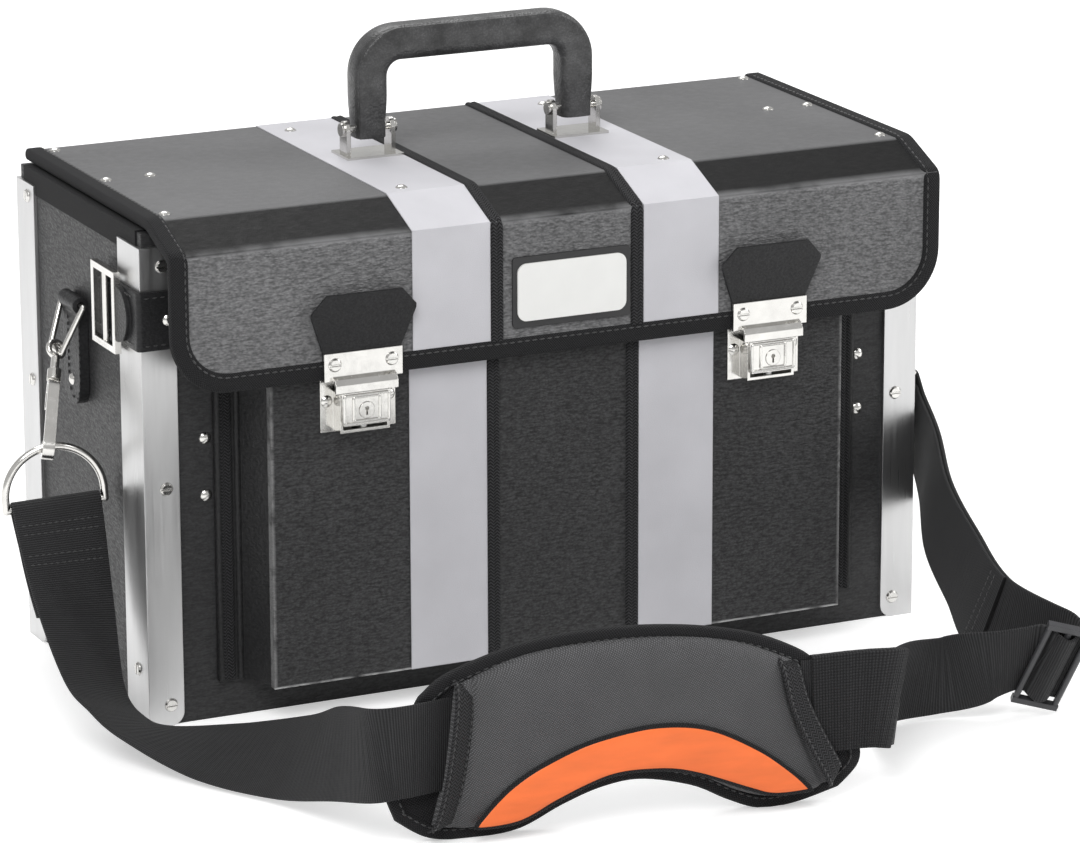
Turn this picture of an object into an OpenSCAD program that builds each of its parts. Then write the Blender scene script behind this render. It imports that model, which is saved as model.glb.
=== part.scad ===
// Hard tool case: a boxed case with aluminium corner angles, a front pocket,
// a folded lid with two keyed locks, a folding carry handle and a shoulder strap.
// Millimetres. +X is to the right, the front faces -Y, +Z is up.
// The origin is on the floor, under the middle of the box.

/* [Box] */
// Width over the corner angles
case_w = 440; // [420:5:500]
// Depth over the corner angles
case_d = 176; // [168:2:210]
// Height of the box walls
wall_h = 257; // [250:1:290]
// Thickness of the wall boards
wall_t = 6; // [5:0.5:8]
// Height of the textile binding down each side wall from its top edge
rim_h = 12; // [8:1:16]
// Thickness of the textile binding tape
tape_t = 0.8; // [0.5:0.1:1]

/* [Corner angles] */
// Height of the corner angles
angle_h = 250; // [240:1:256]
// Thickness of the corner angles
angle_t = 2; // [1.5:0.25:2.5]
// Width of the angle legs that lie on the front and back
angle_face_w = 19; // [16:1:24]
// Width of the front angles' legs that lie on the sides
angle_side_w = 30; // [26:1:36]
// Width of the rear angles' legs that lie on the sides
angle_rear_w = 25; // [20:1:32]
// Radius of the angles' lower outer corners
angle_corner_r = 7; // [4:1:10]

/* [Front pocket] */
// Distance from the pocket board's side edge to the case's side
board_inset = 58.5; // [55:0.5:64]
// Thickness of the pocket board
board_t = 5; // [4:0.5:6]
// Clear depth of the pocket
pocket_d = 22; // [16:1:28]
// Height of the pocket board's lower edge
board_low = 20; // [12:1:30]
// Height of the pocket board's upper edge
board_top = 226; // [210:1:236]
// Distance from the gussets' outer piping to the case's side
gusset_inset = 38; // [36:1:44]

/* [Stripes] */
// Distance from the middle to a stripe's inner edge
stripe_in = 43; // [36:1:50]
// Distance from the middle to a stripe's outer edge
stripe_out = 86; // [76:1:88]
// Thickness of the stripes
stripe_t = 0.5; // [0.4:0.1:0.8]
// Width of the ribbed strip along each stripe's inner edge
strip_w = 7; // [5:1:9]
// Thickness of the ribbed strips
strip_t = 1.2; // [1:0.1:1.4]

/* [Lid] */
// Distance from the lid's side edge to the case's side
lid_inset = 5; // [1:0.5:8]
// Thickness of the lid board
lid_t = 4; // [3:0.5:5]
// Thickness of the front flap
flap_t = 3; // [2.5:0.5:4]
// Clearance between the flap and the pocket board
flap_gap = 2.4; // [2.4:0.1:3.5]
// Clearance between the wall tops and the lid
lid_gap = 3; // [3:0.5:5]
// Height of the crease between the chamfer and the flap
flap_crease_z = 251.5; // [246:0.5:254]
// Height of the flap's lower edge
flap_low = 181; // [176:0.5:190]
// Radius of the flap's lower corners
flap_corner_r = 30; // [15:1:40]
// Width of the binding on the flap
binding_w = 9; // [7:1:12]
// Largest opening angle of the lid
lid_open = 105; // [90:5:110]

/* [Handle] */
// Width over the handle's legs
handle_w = 138; // [130:1:160]
// Thickness of the grip
grip_t = 18; // [16:1:24]
// Height of the grip's top above the floor
handle_top = 333; // [325:1:355]
// Height of the handle pins above the lid
pivot_rise = 14.5; // [13.5:0.5:18]
// Radius of the handle pins
pin_r = 2; // [1.5:0.25:2.5]

/* [Locks] */
// Distance from the middle to a lock
lock_x = 114.5; // [108:0.5:130]
// Width of the lock plate
lock_w = 41; // [36:1:46]
// Height of the lock plate's lower edge
lock_low = 152; // [146:0.5:156]
// Width of the lock's housing
housing_w = 27; // [25:0.5:29]
// Travel of the lock button
button_travel = 3.5; // [2:0.5:4]

/* [Shoulder strap] */
// Width of the webbing
web_w = 46; // [40:1:46]
// Thickness of the webbing
web_t = 2; // [1.6:0.2:2.4]
// Diameter of the wire of the rings
ring_wire = 4; // [3:0.5:4.5]
// Outer diameter of the rings
ring_d = 55; // [54:1:58]
// Thickness of the shoulder pad's cushion
pad_t = 6.5; // [5:0.5:8]

/* [Hidden] */
$fn = 48;

// Box
x_out = case_w / 2;
y_out = case_d / 2;
x_wall = x_out - angle_t;
y_wall = y_out - angle_t;
x_in = x_wall - wall_t;
y_in = y_wall - wall_t;
board_half_w = x_out - board_inset;
gusset_half_w = x_out - gusset_inset;
lid_half_w = x_out - lid_inset;

// Screws and rivets
screw_r = 3.6;
screw_head_h = 1.2;
screw_shank_r = 1.5;
screw_slot_w = 0.9;
screw_depth = angle_t + 4;
face_screw_x = x_out - 12;
face_screw_z = [11, angle_h / 2, angle_h - 10];
side_screw_y = -(y_out - 14);
side_screw_z = 28;
rear_screw_y = y_out - 16;
rear_screw_z = [40, 144, angle_h - 7];
rivet_r = 3.2;
rivet_h = 1.6;
rivet_shank_r = 1.6;
rail_rivet_x = gusset_half_w + 4;
rail_rivet_z = [118.5, 148.5];

// Tool board inside
rail_w = 16;
rail_t = 2;
rail_low = 40;
rail_top = 232;
tool_board_t = 4;
slide_clear = 0.3;

// Pocket
board_in_y = -(y_wall + pocket_d);
board_y = board_in_y - board_t;
gusset_t = 2;
floor_t = 2;
floor_z = board_low + 4;

// Lid
lid_low = wall_h + lid_gap;
lid_z = lid_low + lid_t;
lid_back_y = y_wall - 1.5;
crease_y = -(y_out - 1);
flap_in_y = board_y - flap_gap;
flap_y = flap_in_y - flap_t;

// Hinge
leaf_t = 1.2;
knuckle_r = 2.6;
hinge_pin_r = 1.2;
hinge_run = 0.05;
hinge_y = y_wall + knuckle_r;
hinge_z = lid_low - knuckle_r;
hinge_half = lid_half_w - 15;
knuckles = 19;
leaf_w = 22;

// Handle
pivot_y = -2;
leg_w = 20;
pivot_z = lid_z + pivot_rise;
leg_low = 5;
leg_x = (handle_w - leg_w) / 2;
grip_r = 24;
bracket_w = 31.6;
bracket_d = 22;
bracket_t = 1.2;
ear_t = 2.4;
ear_gap = 1.4;
ear_r = 4.6;
pin_run = 0.05;

// Locks
tab_t = 1.4;
hasp_y = flap_y - tape_t - tab_t;
lock_t = 1.2;
lock_top = flap_low - 1;
housing_low = lock_low + 1;
housing_top = lock_top - 7;
housing_t = 1.5;
button_t = 2;
button_low = housing_low + button_travel + 0.5;
button_top = housing_top + 1;
button_gap = 0.3;
housing_front = board_y - 10.2;
button_y = housing_front - button_gap;
stem_w = 12;
stem_low = housing_low + 7;
flange_rivet_x = (lock_w + housing_w) / 4;
flange_rivet_z = 168;
key_z = 164.5;
key_r = 4.2;
key_run = 0.06;
spring_r = 2.2;
hasp_t = 1.5;
hasp_w = 42.5;
hasp_low = flap_low - 1;
hasp_top = hasp_low + 14.5;
hasp_screw_x = 15.5;
lip_w = 34;
tongue_w = 10;
tongue_t = 1.2;
tongue_low = housing_top - 3.5;

// Side anchors
band_t = 2.4;
band_top = angle_h - 22;
band_low = band_top - 30;
band_front_x = x_out - 20;
band_rear_y = -30;
buckle_y = -51;
buckle_w = 32;
buckle_h = 42;
buckle_bar = 3.4;
hanger_t = 5.6;
hanger_w = 22;
hanger_low = 149;
hanger_y = 2;
hanger_rivet_z = 162;
loop_wire = 3;
loop_top_z = 203;
loop_top_x = x_wall + 4.2;
loop_half_top = 15;
loop_low_z = 179.3;
loop_low_x = x_wall + 14.6;
loop_half_low = 8;

// Snap hooks: height of the eye over the jaw, and each hook's turn
hook_len = 56;
eye_r = 4.2;
eye_wire = 3;
hook_turn_left = [62, 43, 13];
hook_turn_right = [99, 37, 90];

// Rings and webbing: places chosen along each run, as [centre, direction across the strap],
// for a case of the drawn half width; wider or narrower, their ends follow the rings.
drawn_half_w = 220;
function spread(rows, side, from, to) = [for (i = [0 : len(rows) - 1])
  [rows[i][0] + [side * (x_out - drawn_half_w) * (from + (to - from) * i / (len(rows) - 1)), 0, 0],
    rows[i][1]]];
fold_clear = 0.5;
fold_r = (ring_wire + web_t) / 2 + fold_clear;
left_run = spread([
  [[-248, -37, 109], [44, -8, 0]], [[-248.5, -58, 68], [46, 6, -7]],
  [[-249, -87, 29], [40, 20, -15]], [[-244, -106, 17], [39, 21, -17]],
  [[-235, -126, 12.5], [41, 22, -8]], [[-213, -168, 12.5], [38, 22, 17]],
  [[-194, -214, 21], [27, 16, 35]], [[-190, -258, 36], [12, 8, 44]],
  [[-187, -294, 46], [1, 1, 46]], [[-172, -303, 48.5], [0, 0, 46]],
  [[-156.5, -300.8, 48.5], [0, 0, 46]]], -1, 1, 0);
low_run = spread([
  [[39, -332.3, 51], [0, 0, 46]], [[53, -334, 51], [0, 0, 46]],
  [[70, -333, 49], [2, -1, 46]], [[84, -318, 42], [5, -3, 45]],
  [[92, -292, 33], [8, -5, 45]], [[103, -268, 27], [8, -6, 45]],
  [[122, -254, 25.5], [6, -9, 45]], [[145, -254, 25.5], [4, -13, 44]],
  [[166.4, -265, 31], [3, -20, 43]]], 1, 0, 0.5);
high_run = spread([
  [[190, -228, 43], [11, -17, 43]], [[198, -183, 56], [6, -16, 45]],
  [[209, -138, 69], [3, -17, 45]], [[225, -99, 85], [-3, -21, 43]],
  [[234, -69, 98], [-8, -28, 38]], [[236.1, -53.4, 110.2], [-7, -32, 33]]], 1, 0.5, 1);
adjuster_at = [196 + (x_out - drawn_half_w) / 2, -277, 30];
adjuster_across = [3, -25, 41];
adjuster_along = [0.91, -0.41, -0.06];
bar_t = 3.5;
bar_pitch = 10.5;

// Pad: a point on its plane, the turn of the plane, and its two thicknesses
pad_at = [-55, -315.3, 0.5];
pad_turn = -9;
pad_base_t = 3;
insert_t = 1.2;

// Fastener seats: a place on a face and the turn that points local +Z out of it.
to_front = [90, 0, 0];
to_back = [-90, 0, 0];
function to_side(s) = [0, s * 90, 0];

face_screws = [for (s = [-1, 1], z = face_screw_z, f = [0, 1])
  [[s * face_screw_x, f == 0 ? -y_out : y_out, z], f == 0 ? to_front : to_back]];
side_screws = [for (s = [-1, 1]) [[s * x_out, side_screw_y, side_screw_z], to_side(s)]];
rear_screws = [for (s = [-1, 1], z = rear_screw_z) [[s * x_out, rear_screw_y, z], to_side(s)]];
box_screws = concat(face_screws, side_screws, rear_screws);

band_z = (band_low + band_top) / 2;
lock_rivets = [for (s = [-1, 1], t = [-1, 1])
  [[s * lock_x + t * flange_rivet_x, board_y - lock_t, flange_rivet_z], to_front]];
band_rivets = [for (s = [-1, 1]) [[s * (x_out - 14), -y_out - band_t, band_z], to_front]];
rail_rivets = [for (s = [-1, 1], z = rail_rivet_z) [[s * rail_rivet_x, -y_wall, z], to_front]];
hanger_rivets = [for (s = [-1, 1])
  [[s * (x_wall + hanger_t), hanger_y, hanger_rivet_z], to_side(s)]];
band_rivet_depth = band_t + angle_t + wall_t - 1;
leaf_rivet_x = [for (i = [-5 : 2 : 5]) i * (hinge_half - 20) / 5];
leaf_rivet_z = lid_low - 18;
leaf_rivets = [for (x = leaf_rivet_x) [[x, y_wall + leaf_t, leaf_rivet_z], to_back]];

lid_rivet_x = lid_half_w - 13;
lid_mid_y = (lid_back_y + crease_y) / 2 + 4.5;
lid_rivet_places = [for (s = [-1, 1], p = [[lid_rivet_x, lid_back_y - 6.5], [lid_rivet_x, lid_mid_y],
    [lid_rivet_x, crease_y + 9], [lid_rivet_x - 24, lid_mid_y]])
  [s * p[0], p[1], lid_z]];
stripe_rivet_places = [for (s = [-1, 1], y = [crease_y + 8, lid_back_y - 18.5])
  [s * (stripe_out - 12), y, lid_z + stripe_t]];

module seat(place) {
  translate(place[0]) rotate(place[1]) children();
}

// A shank hole from the seat inwards.
module shank_holes(places, r, depth) {
  for (p = places) seat(p) translate([0, 0, -depth]) cylinder(r = r, h = depth + 1);
}

module slotted_screw(depth) {
  difference() {
    union() {
      cylinder(r1 = screw_r, r2 = screw_r - 0.8, h = screw_head_h);
      translate([0, 0, -depth]) cylinder(r = screw_shank_r, h = depth);
    }
    translate([-screw_r, -screw_slot_w / 2, screw_head_h / 2])
      cube([2 * screw_r, screw_slot_w, screw_head_h]);
  }
}

module dome_rivet(depth) {
  ball_r = (rivet_r * rivet_r + rivet_h * rivet_h) / (2 * rivet_h);
  difference() {
    translate([0, 0, rivet_h - ball_r]) sphere(r = ball_r);
    translate([0, 0, -2 * ball_r]) cylinder(r = 2 * ball_r, h = 2 * ball_r);
  }
  translate([0, 0, -depth]) cylinder(r = rivet_shank_r, h = depth);
}

// ---- Box ----

module board(low, high) {
  translate(low) cube(high - low);
}

module base_board() {
  color("dimgray") board([-x_in, -y_in, 0], [x_in, y_in, wall_t]);
}

module front_panel() {
  color("#2b2b2b") difference() {
    board([-x_wall, -y_wall, 0], [x_wall, -y_in, wall_h]);
    shank_holes(face_screws, screw_shank_r + slide_clear / 2, screw_depth);
    shank_holes(rail_rivets, rivet_shank_r + slide_clear / 2, wall_t + 1);
    shank_holes(band_rivets, rivet_shank_r + slide_clear / 2, band_rivet_depth);
  }
}

module back_panel() {
  color("#2b2b2b") difference() {
    board([-x_wall, y_in, 0], [x_wall, y_wall, wall_h]);
    shank_holes(face_screws, screw_shank_r + slide_clear / 2, screw_depth);
    shank_holes(leaf_rivets, rivet_shank_r + slide_clear / 2, leaf_t + wall_t - 1);
  }
}

module side_panel(s) {
  low_x = s > 0 ? x_in : -x_wall;
  color("#333333") difference() {
    board([low_x, -y_in, 0], [low_x + wall_t, y_in, wall_h]);
    shank_holes(concat(side_screws, rear_screws), screw_shank_r + slide_clear / 2, screw_depth);
    shank_holes(hanger_rivets, rivet_shank_r + slide_clear / 2, hanger_t + wall_t - 1);
  }
}

module left_panel() side_panel(-1);

module right_panel() side_panel(1);

// Textile tape folded over the top edge of each side wall.
module rim_bindings() {
  color("#1c1c1c") for (s = [-1, 1]) {
    mirror([s < 0 ? 1 : 0, 0, 0]) difference() {
      board([x_in - tape_t, -y_in, wall_h - rim_h], [x_wall + tape_t, y_in, wall_h + tape_t]);
      board([x_in, -y_out, 0], [x_wall, y_out, wall_h]);
      board([x_wall, -y_out, 0], [case_w, -y_out + angle_side_w, angle_h]);
      board([x_wall, y_out - angle_rear_w, 0], [case_w, y_out, angle_h]);
    }
  }
}

// Outline of one angle leg, its free lower corner rounded.
module leg_outline(w) {
  difference() {
    square([w, angle_h]);
    difference() {
      translate([w - angle_corner_r, 0]) square(angle_corner_r);
      translate([w - angle_corner_r, angle_corner_r]) circle(r = angle_corner_r);
    }
  }
}

module corner_angle(side_w) {
  translate([-x_out, -y_wall, 0]) rotate([90, 0, 0])
    linear_extrude(angle_t) leg_outline(angle_face_w);
  translate([-x_out, -y_out, 0]) rotate([90, 0, 90])
    linear_extrude(angle_t) leg_outline(side_w);
}

module front_angles() {
  color("silver") difference() {
    for (m = [0, 1]) mirror([m, 0, 0]) corner_angle(angle_side_w);
    shank_holes(box_screws, screw_shank_r + slide_clear / 2, screw_depth);
    shank_holes(band_rivets, rivet_shank_r + slide_clear / 2, band_rivet_depth);
  }
}

module rear_angles() {
  color("silver") difference() {
    for (m = [0, 1]) mirror([m, 0, 0]) mirror([0, 1, 0]) corner_angle(angle_rear_w);
    shank_holes(box_screws, screw_shank_r + slide_clear / 2, screw_depth);
  }
}

module case_screws() {
  color("gainsboro") for (p = box_screws) seat(p) slotted_screw(screw_depth);
}

// ---- Inside ----

rail_out_x = x_in - 6;

module tool_rails() {
  back_y = -y_in;
  lip_y = back_y + rail_t + tool_board_t + 2 * slide_clear;
  color("gray") difference() {
    for (m = [0, 1]) mirror([m, 0, 0]) {
      board([rail_rivet_x - rail_w / 2, back_y, rail_low], [rail_out_x, back_y + rail_t, rail_top]);
      board([rail_out_x - rail_t, back_y, rail_low], [rail_out_x, lip_y + rail_t, rail_top]);
      board([rail_rivet_x, lip_y, rail_low], [rail_out_x, lip_y + rail_t, rail_top]);
      board([rail_rivet_x, back_y, rail_low], [rail_out_x, lip_y + rail_t, rail_low + rail_t]);
    }
    shank_holes(rail_rivets, rivet_shank_r + slide_clear / 2, wall_t + rail_t + 1);
  }
}

module tool_board() {
  half_w = rail_out_x - rail_t - slide_clear;
  low_y = -y_in + rail_t + slide_clear;
  color("#3a3a3a") board([-half_w, low_y, rail_low + rail_t], [half_w, low_y + tool_board_t, rail_top]);
}

// ---- Front pocket ----

gusset_fold_x = gusset_half_w - 14;
gusset_board_x = board_half_w - 2;

module pocket_board() {
  color("#2b2b2b") difference() {
    board([-board_half_w, board_y, board_low], [board_half_w, board_in_y, board_top]);
    shank_holes(lock_rivets, rivet_shank_r + slide_clear / 2, lock_t + board_t - 1);
  }
}

module pocket_floor() {
  color("#2b2b2b") translate([0, 0, floor_z]) linear_extrude(floor_t) polygon([
    [-gusset_fold_x + 1.6, -y_wall], [gusset_fold_x - 1.6, -y_wall],
    [gusset_board_x - gusset_t - 0.8, board_in_y], [-gusset_board_x + gusset_t + 0.8, board_in_y]]);
}

// Folded leather wall at each end of the pocket, with its stitched strip and piped edge.
module pocket_gussets() {
  piping_r = 1.8;
  color("#242424") for (m = [0, 1]) mirror([m, 0, 0]) translate([0, 0, board_low])
    linear_extrude(board_top - board_low) {
      polygon([[gusset_half_w, -y_wall], [gusset_half_w, -y_wall - gusset_t],
        [gusset_fold_x + 1, -y_wall - gusset_t], [gusset_board_x, board_in_y],
        [gusset_board_x - gusset_t - 0.3, board_in_y], [gusset_fold_x - 1.2, -y_wall]]);
      for (x = [gusset_half_w - piping_r, gusset_fold_x + piping_r])
        translate([x, -y_wall - gusset_t]) circle(r = piping_r);
    }
}

module pocket_stripes() {
  color("lightsteelblue") for (m = [0, 1]) mirror([m, 0, 0])
    board([stripe_in, board_y - stripe_t, board_low], [stripe_out, board_y, board_top]);
}

module pocket_strips() {
  color("#151515") for (m = [0, 1]) mirror([m, 0, 0])
    board([stripe_in - strip_w, board_y - strip_t, board_low], [stripe_in, board_y, board_top]);
}

// ---- Hinge ----

knuckle_len = 2 * hinge_half / knuckles;
knuckle_gap = 0.3;

// Knuckles number first, first + 2, ... along the hinge, each with its web to the leaf.
module knuckle_row(first, web_low, web_high) {
  for (i = [first : 2 : knuckles - 1]) {
    x = -hinge_half + i * knuckle_len + knuckle_gap / 2;
    translate([x, hinge_y, hinge_z]) rotate([0, 90, 0])
      cylinder(r = knuckle_r, h = knuckle_len - knuckle_gap);
    board([x, web_low[0], web_low[1]], [x + knuckle_len - knuckle_gap, web_high[0], web_high[1]]);
  }
}

module hinge_bore() {
  translate([-hinge_half - 1, hinge_y, hinge_z]) rotate([0, 90, 0])
    cylinder(r = hinge_pin_r + hinge_run, h = 2 * hinge_half + 2);
}

module hinge_leaf_back() {
  leaf_high = hinge_z - knuckle_r - knuckle_gap;
  color("silver") difference() {
    union() {
      board([-hinge_half, y_wall, lid_low - leaf_w], [hinge_half, y_wall + leaf_t, leaf_high]);
      knuckle_row(0, [y_wall, leaf_high], [y_wall + leaf_t, hinge_z]);
    }
    hinge_bore();
    shank_holes(leaf_rivets, rivet_shank_r + slide_clear / 2, leaf_t + wall_t - 1);
  }
}

module hinge_leaf_lid() {
  leaf_back = hinge_y - knuckle_r - knuckle_gap;
  color("silver") difference() {
    union() {
      board([-hinge_half, lid_back_y - leaf_w, lid_low - leaf_t], [hinge_half, leaf_back, lid_low]);
      knuckle_row(1, [leaf_back, lid_low - leaf_t], [hinge_y, lid_low]);
    }
    hinge_bore();
    lid_rivet_holes();
  }
}

module hinge_pin() {
  color("gainsboro") translate([-hinge_half, hinge_y, hinge_z]) rotate([0, 90, 0])
    cylinder(r = hinge_pin_r, h = 2 * hinge_half);
}

module case_rivets() {
  color("gainsboro") {
    for (p = rail_rivets) seat(p) dome_rivet(wall_t + rail_t);
    for (p = hanger_rivets) seat(p) dome_rivet(hanger_t + wall_t - 1);
    for (p = band_rivets) seat(p) dome_rivet(band_rivet_depth);
    for (p = lock_rivets) seat(p) dome_rivet(lock_t + board_t - 1);
    for (p = leaf_rivets) seat(p) dome_rivet(leaf_t + wall_t - 1);
  }
}

// ---- Lid ----

chamfer_a = atan2(lid_z - flap_crease_z, crease_y - flap_y);
top_miter = tan(chamfer_a / 2);
flap_miter = tan((90 - chamfer_a) / 2);

// Outer line of the folded lid, moved outwards by g, from the back edge down to z_end.
function lid_line(g, z_end) = [
  [lid_back_y, lid_z + g],
  [crease_y - g * top_miter, lid_z + g],
  [flap_y - g, flap_crease_z + g * flap_miter],
  [flap_y - g, z_end]];

// Inner line of the folded lid, moved inwards by g, from the flap's foot to the back edge.
function lid_inner_line(g, z_end) = [
  [flap_in_y + g, z_end],
  [flap_in_y + g, flap_crease_z - lid_t + (flap_t - g) * flap_miter],
  [crease_y + lid_t * top_miter, lid_low - g],
  [lid_back_y, lid_low - g]];

// A side-view outline in Y and Z, made x0 to x1 wide.
module across(x0, x1) {
  translate([x0, 0, 0]) rotate([90, 0, 90]) linear_extrude(x1 - x0) children();
}

// A front-view outline in X and Z, carried from y0 back to y1.
module along_y(y0, y1) {
  translate([0, y1, 0]) rotate([90, 0, 0]) linear_extrude(y1 - y0) children();
}

module lid_outline(inset) {
  r = flap_corner_r - inset;
  half = lid_half_w - inset;
  low = flap_low + inset;
  translate([-half, low + r]) square([2 * half, case_w]);
  translate([-half + r, low]) square([2 * (half - r), r + 1]);
  for (s = [-1, 1]) translate([s * (half - r), low + r]) circle(r = r);
}

module lid_blank(g, inset) {
  intersection() {
    across(-lid_half_w, lid_half_w)
      polygon(concat(lid_line(g, flap_low), lid_inner_line(g, flap_low)));
    along_y(-case_d, case_d) lid_outline(inset);
  }
}

// Thin covering on the lid's outer face, between x0 and x1.
module lid_skin(x0, x1, t) {
  low = flap_low + binding_w;
  outer = lid_line(t, low);
  inner = lid_line(0, low);
  across(x0, x1) polygon(concat(outer, [for (i = [3 : -1 : 0]) inner[i]]));
}

module lid_rivet_holes() {
  for (p = concat(lid_rivet_places, stripe_rivet_places))
    translate([p[0], p[1], lid_low - leaf_t - 1])
      cylinder(r = rivet_shank_r + slide_clear / 2, h = lid_t + stripe_t + leaf_t + 2);
}

hasp_screw_z = hasp_top - 6;
hasp_screws_at = [for (s = [-1, 1], t = [-1, 1])
  [[s * lock_x + t * hasp_screw_x, hasp_y - hasp_t, hasp_screw_z], to_front]];
hasp_screw_depth = hasp_t + tab_t + tape_t + flap_t;

module hasp_screw_holes() {
  shank_holes(hasp_screws_at, screw_shank_r + slide_clear / 2, hasp_screw_depth + 2);
}

module lid_board() {
  color("#3a3a3a") difference() {
    lid_blank(0, tape_t);
    lid_rivet_holes();
    hasp_screw_holes();
  }
}

module lid_binding() {
  color("#1c1c1c") difference() {
    lid_blank(tape_t, 0);
    lid_blank(0, tape_t);
    along_y(-case_d, case_d) lid_outline(binding_w);
    hasp_screw_holes();
  }
}

module lid_stripes() {
  color("lightsteelblue") difference() {
    for (m = [0, 1]) mirror([m, 0, 0]) lid_skin(stripe_in, stripe_out, stripe_t);
    lid_rivet_holes();
  }
}

module lid_strips() {
  color("#151515") for (m = [0, 1]) mirror([m, 0, 0])
    lid_skin(stripe_in - strip_w, stripe_in, strip_t);
}

label_x = 2;
label_z = 213.5;
label_size = [66, 37];
label_face = [61, 30];
label_t = 1;

module rounded_plate(size, r) {
  for (s = [-1, 1], t = [-1, 1])
    translate([s * (size[0] / 2 - r), t * (size[1] / 2 - r)]) circle(r = r);
  square([size[0], size[1] - 2 * r], center = true);
  square([size[0] - 2 * r, size[1]], center = true);
}

// Blank badge: a backing and a raised face, with nothing written on it.
module label_plate() {
  color("white") translate([label_x, flap_y, label_z]) rotate([90, 0, 0]) {
    linear_extrude(label_t) rounded_plate(label_size, 2);
    linear_extrude(2 * label_t) rounded_plate(label_face, 5);
  }
}

module lid_rivets() {
  color("gainsboro") {
    for (p = lid_rivet_places) translate(p) dome_rivet(lid_t);
    for (p = stripe_rivet_places)
      translate(p) dome_rivet(stripe_t + lid_t + (p[1] > 0 ? leaf_t : 0));
  }
}

// ---- Hasps and pull tabs ----

lip_proud = 4.4;
lip_low = housing_top + 1.5;

module hasp(s) {
  front = hasp_y - hasp_t;
  color("gainsboro") difference() {
    translate([s * lock_x, 0, 0]) {
      board([-hasp_w / 2, front, hasp_low], [hasp_w / 2, hasp_y, hasp_top]);
      across(-lip_w / 2, lip_w / 2) polygon([
        [front + 0.5, hasp_low + 2.4], [front, hasp_low + 2.4], [front - 2.6, hasp_low + 1.2],
        [front - lip_proud, hasp_low - 1.4], [front - lip_proud, lip_low],
        [front - lip_proud + hasp_t, lip_low], [front - lip_proud + hasp_t, hasp_low - 2],
        [front - 1.8, hasp_low - 0.4], [front, hasp_low + 0.6], [front + 0.5, hasp_low + 0.6]]);
      board([-tongue_w / 2, hasp_y - 0.5, tongue_low],
        [tongue_w / 2, hasp_y + tongue_t, flap_low - 0.2]);
    }
    hasp_screw_holes();
  }
}

module hasp_left() hasp(-1);

module hasp_right() hasp(1);

tab_foot_z = flap_low;
tab_bend_z = hasp_top;
tab_wide_z = 215;
tab_top_z = 225;
tab_lean = 4.5;
tab_wide = hasp_w / 2 + 7.25;
tab_end = tab_wide - 8;

// Leather pull tab: clamped under the hasp plate, widening upwards and leaning out.
module pull_tabs() {
  color("#1a1a1a") difference() {
    for (s = [-1, 1]) translate([s * lock_x, 0, 0]) intersection() {
      across(-hasp_w, hasp_w) polygon([
        [hasp_y + tab_t, tab_foot_z], [hasp_y + tab_t, tab_bend_z],
        [hasp_y + tab_t - tab_lean, tab_top_z], [hasp_y - tab_lean, tab_top_z],
        [hasp_y, tab_bend_z + 0.6], [hasp_y, tab_foot_z]]);
      along_y(-case_d, 0) polygon([
        [-hasp_w / 2, tab_foot_z], [hasp_w / 2, tab_foot_z], [hasp_w / 2, tab_bend_z],
        [tab_wide, tab_wide_z - 1], [tab_wide, tab_wide_z + 1], [tab_end, tab_top_z],
        [-tab_end, tab_top_z], [-tab_wide, tab_wide_z + 1], [-tab_wide, tab_wide_z - 1],
        [-hasp_w / 2, tab_bend_z]]);
    }
    hasp_screw_holes();
  }
}

module hasp_screws() {
  color("gainsboro") for (p = hasp_screws_at) seat(p) slotted_screw(hasp_screw_depth);
}

// ---- Locks ----

module lock_base(s) {
  back = board_y - lock_t;
  half = housing_w / 2;
  color("gainsboro") difference() {
    translate([s * lock_x, 0, 0]) {
      board([-lock_w / 2, back, lock_low], [lock_w / 2, board_y, lock_top]);
      for (m = [0, 1]) mirror([m, 0, 0])
        board([half - housing_t, housing_front, housing_low], [half, back, housing_top]);
      board([-half, housing_front, housing_low], [half, back, housing_low + housing_t]);
    }
    shank_holes(lock_rivets, rivet_shank_r + slide_clear / 2, lock_t + board_t - 1);
  }
}

module lock_base_left() lock_base(-1);

module lock_base_right() lock_base(1);

stem_top = tongue_low - slide_clear;
stem_back = board_y - lock_t - 2;

// Sliding face of the lock with the stem and catch behind it.
module lock_button(s) {
  color("silver") translate([s * lock_x, 0, 0]) difference() {
    union() {
      along_y(button_y - button_t, button_y) polygon([
        [-12.2, button_low], [12.2, button_low], [13.5, button_top], [-13.5, button_top]]);
      board([-stem_w / 2, button_y, stem_low], [stem_w / 2, stem_back, stem_top]);
    }
    along_y(button_y - case_d, button_y + 4) translate([0, key_z]) circle(r = key_r + key_run);
  }
}

module lock_button_left() lock_button(-1);

module lock_button_right() lock_button(1);

module key_cylinder(s) {
  front = button_y - button_t - 0.4;
  color("dimgray") translate([s * lock_x, 0, key_z]) difference() {
    along_y(front, button_y + 3.7) circle(r = key_r);
    along_y(front - 1, front + 3) {
      translate([0, 0.8]) circle(r = 1.1);
      translate([-0.5, -2.6]) square([1, 3.4]);
    }
  }
}

module key_cylinder_left() key_cylinder(-1);

module key_cylinder_right() key_cylinder(1);

// Return spring as a plain sleeve between the housing's floor and the stem.
module lock_spring(s) {
  spring_y = (button_y + stem_back) / 2;
  low = housing_low + housing_t;
  color("gray") translate([s * lock_x, spring_y, low]) difference() {
    cylinder(r = spring_r, h = stem_low - low);
    translate([0, 0, -1]) cylinder(r = spring_r - 0.6, h = stem_low - low + 2);
  }
}

module lock_spring_left() lock_spring(-1);

module lock_spring_right() lock_spring(1);

// ---- Handle ----

plate_z = lid_z + stripe_t;

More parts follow.
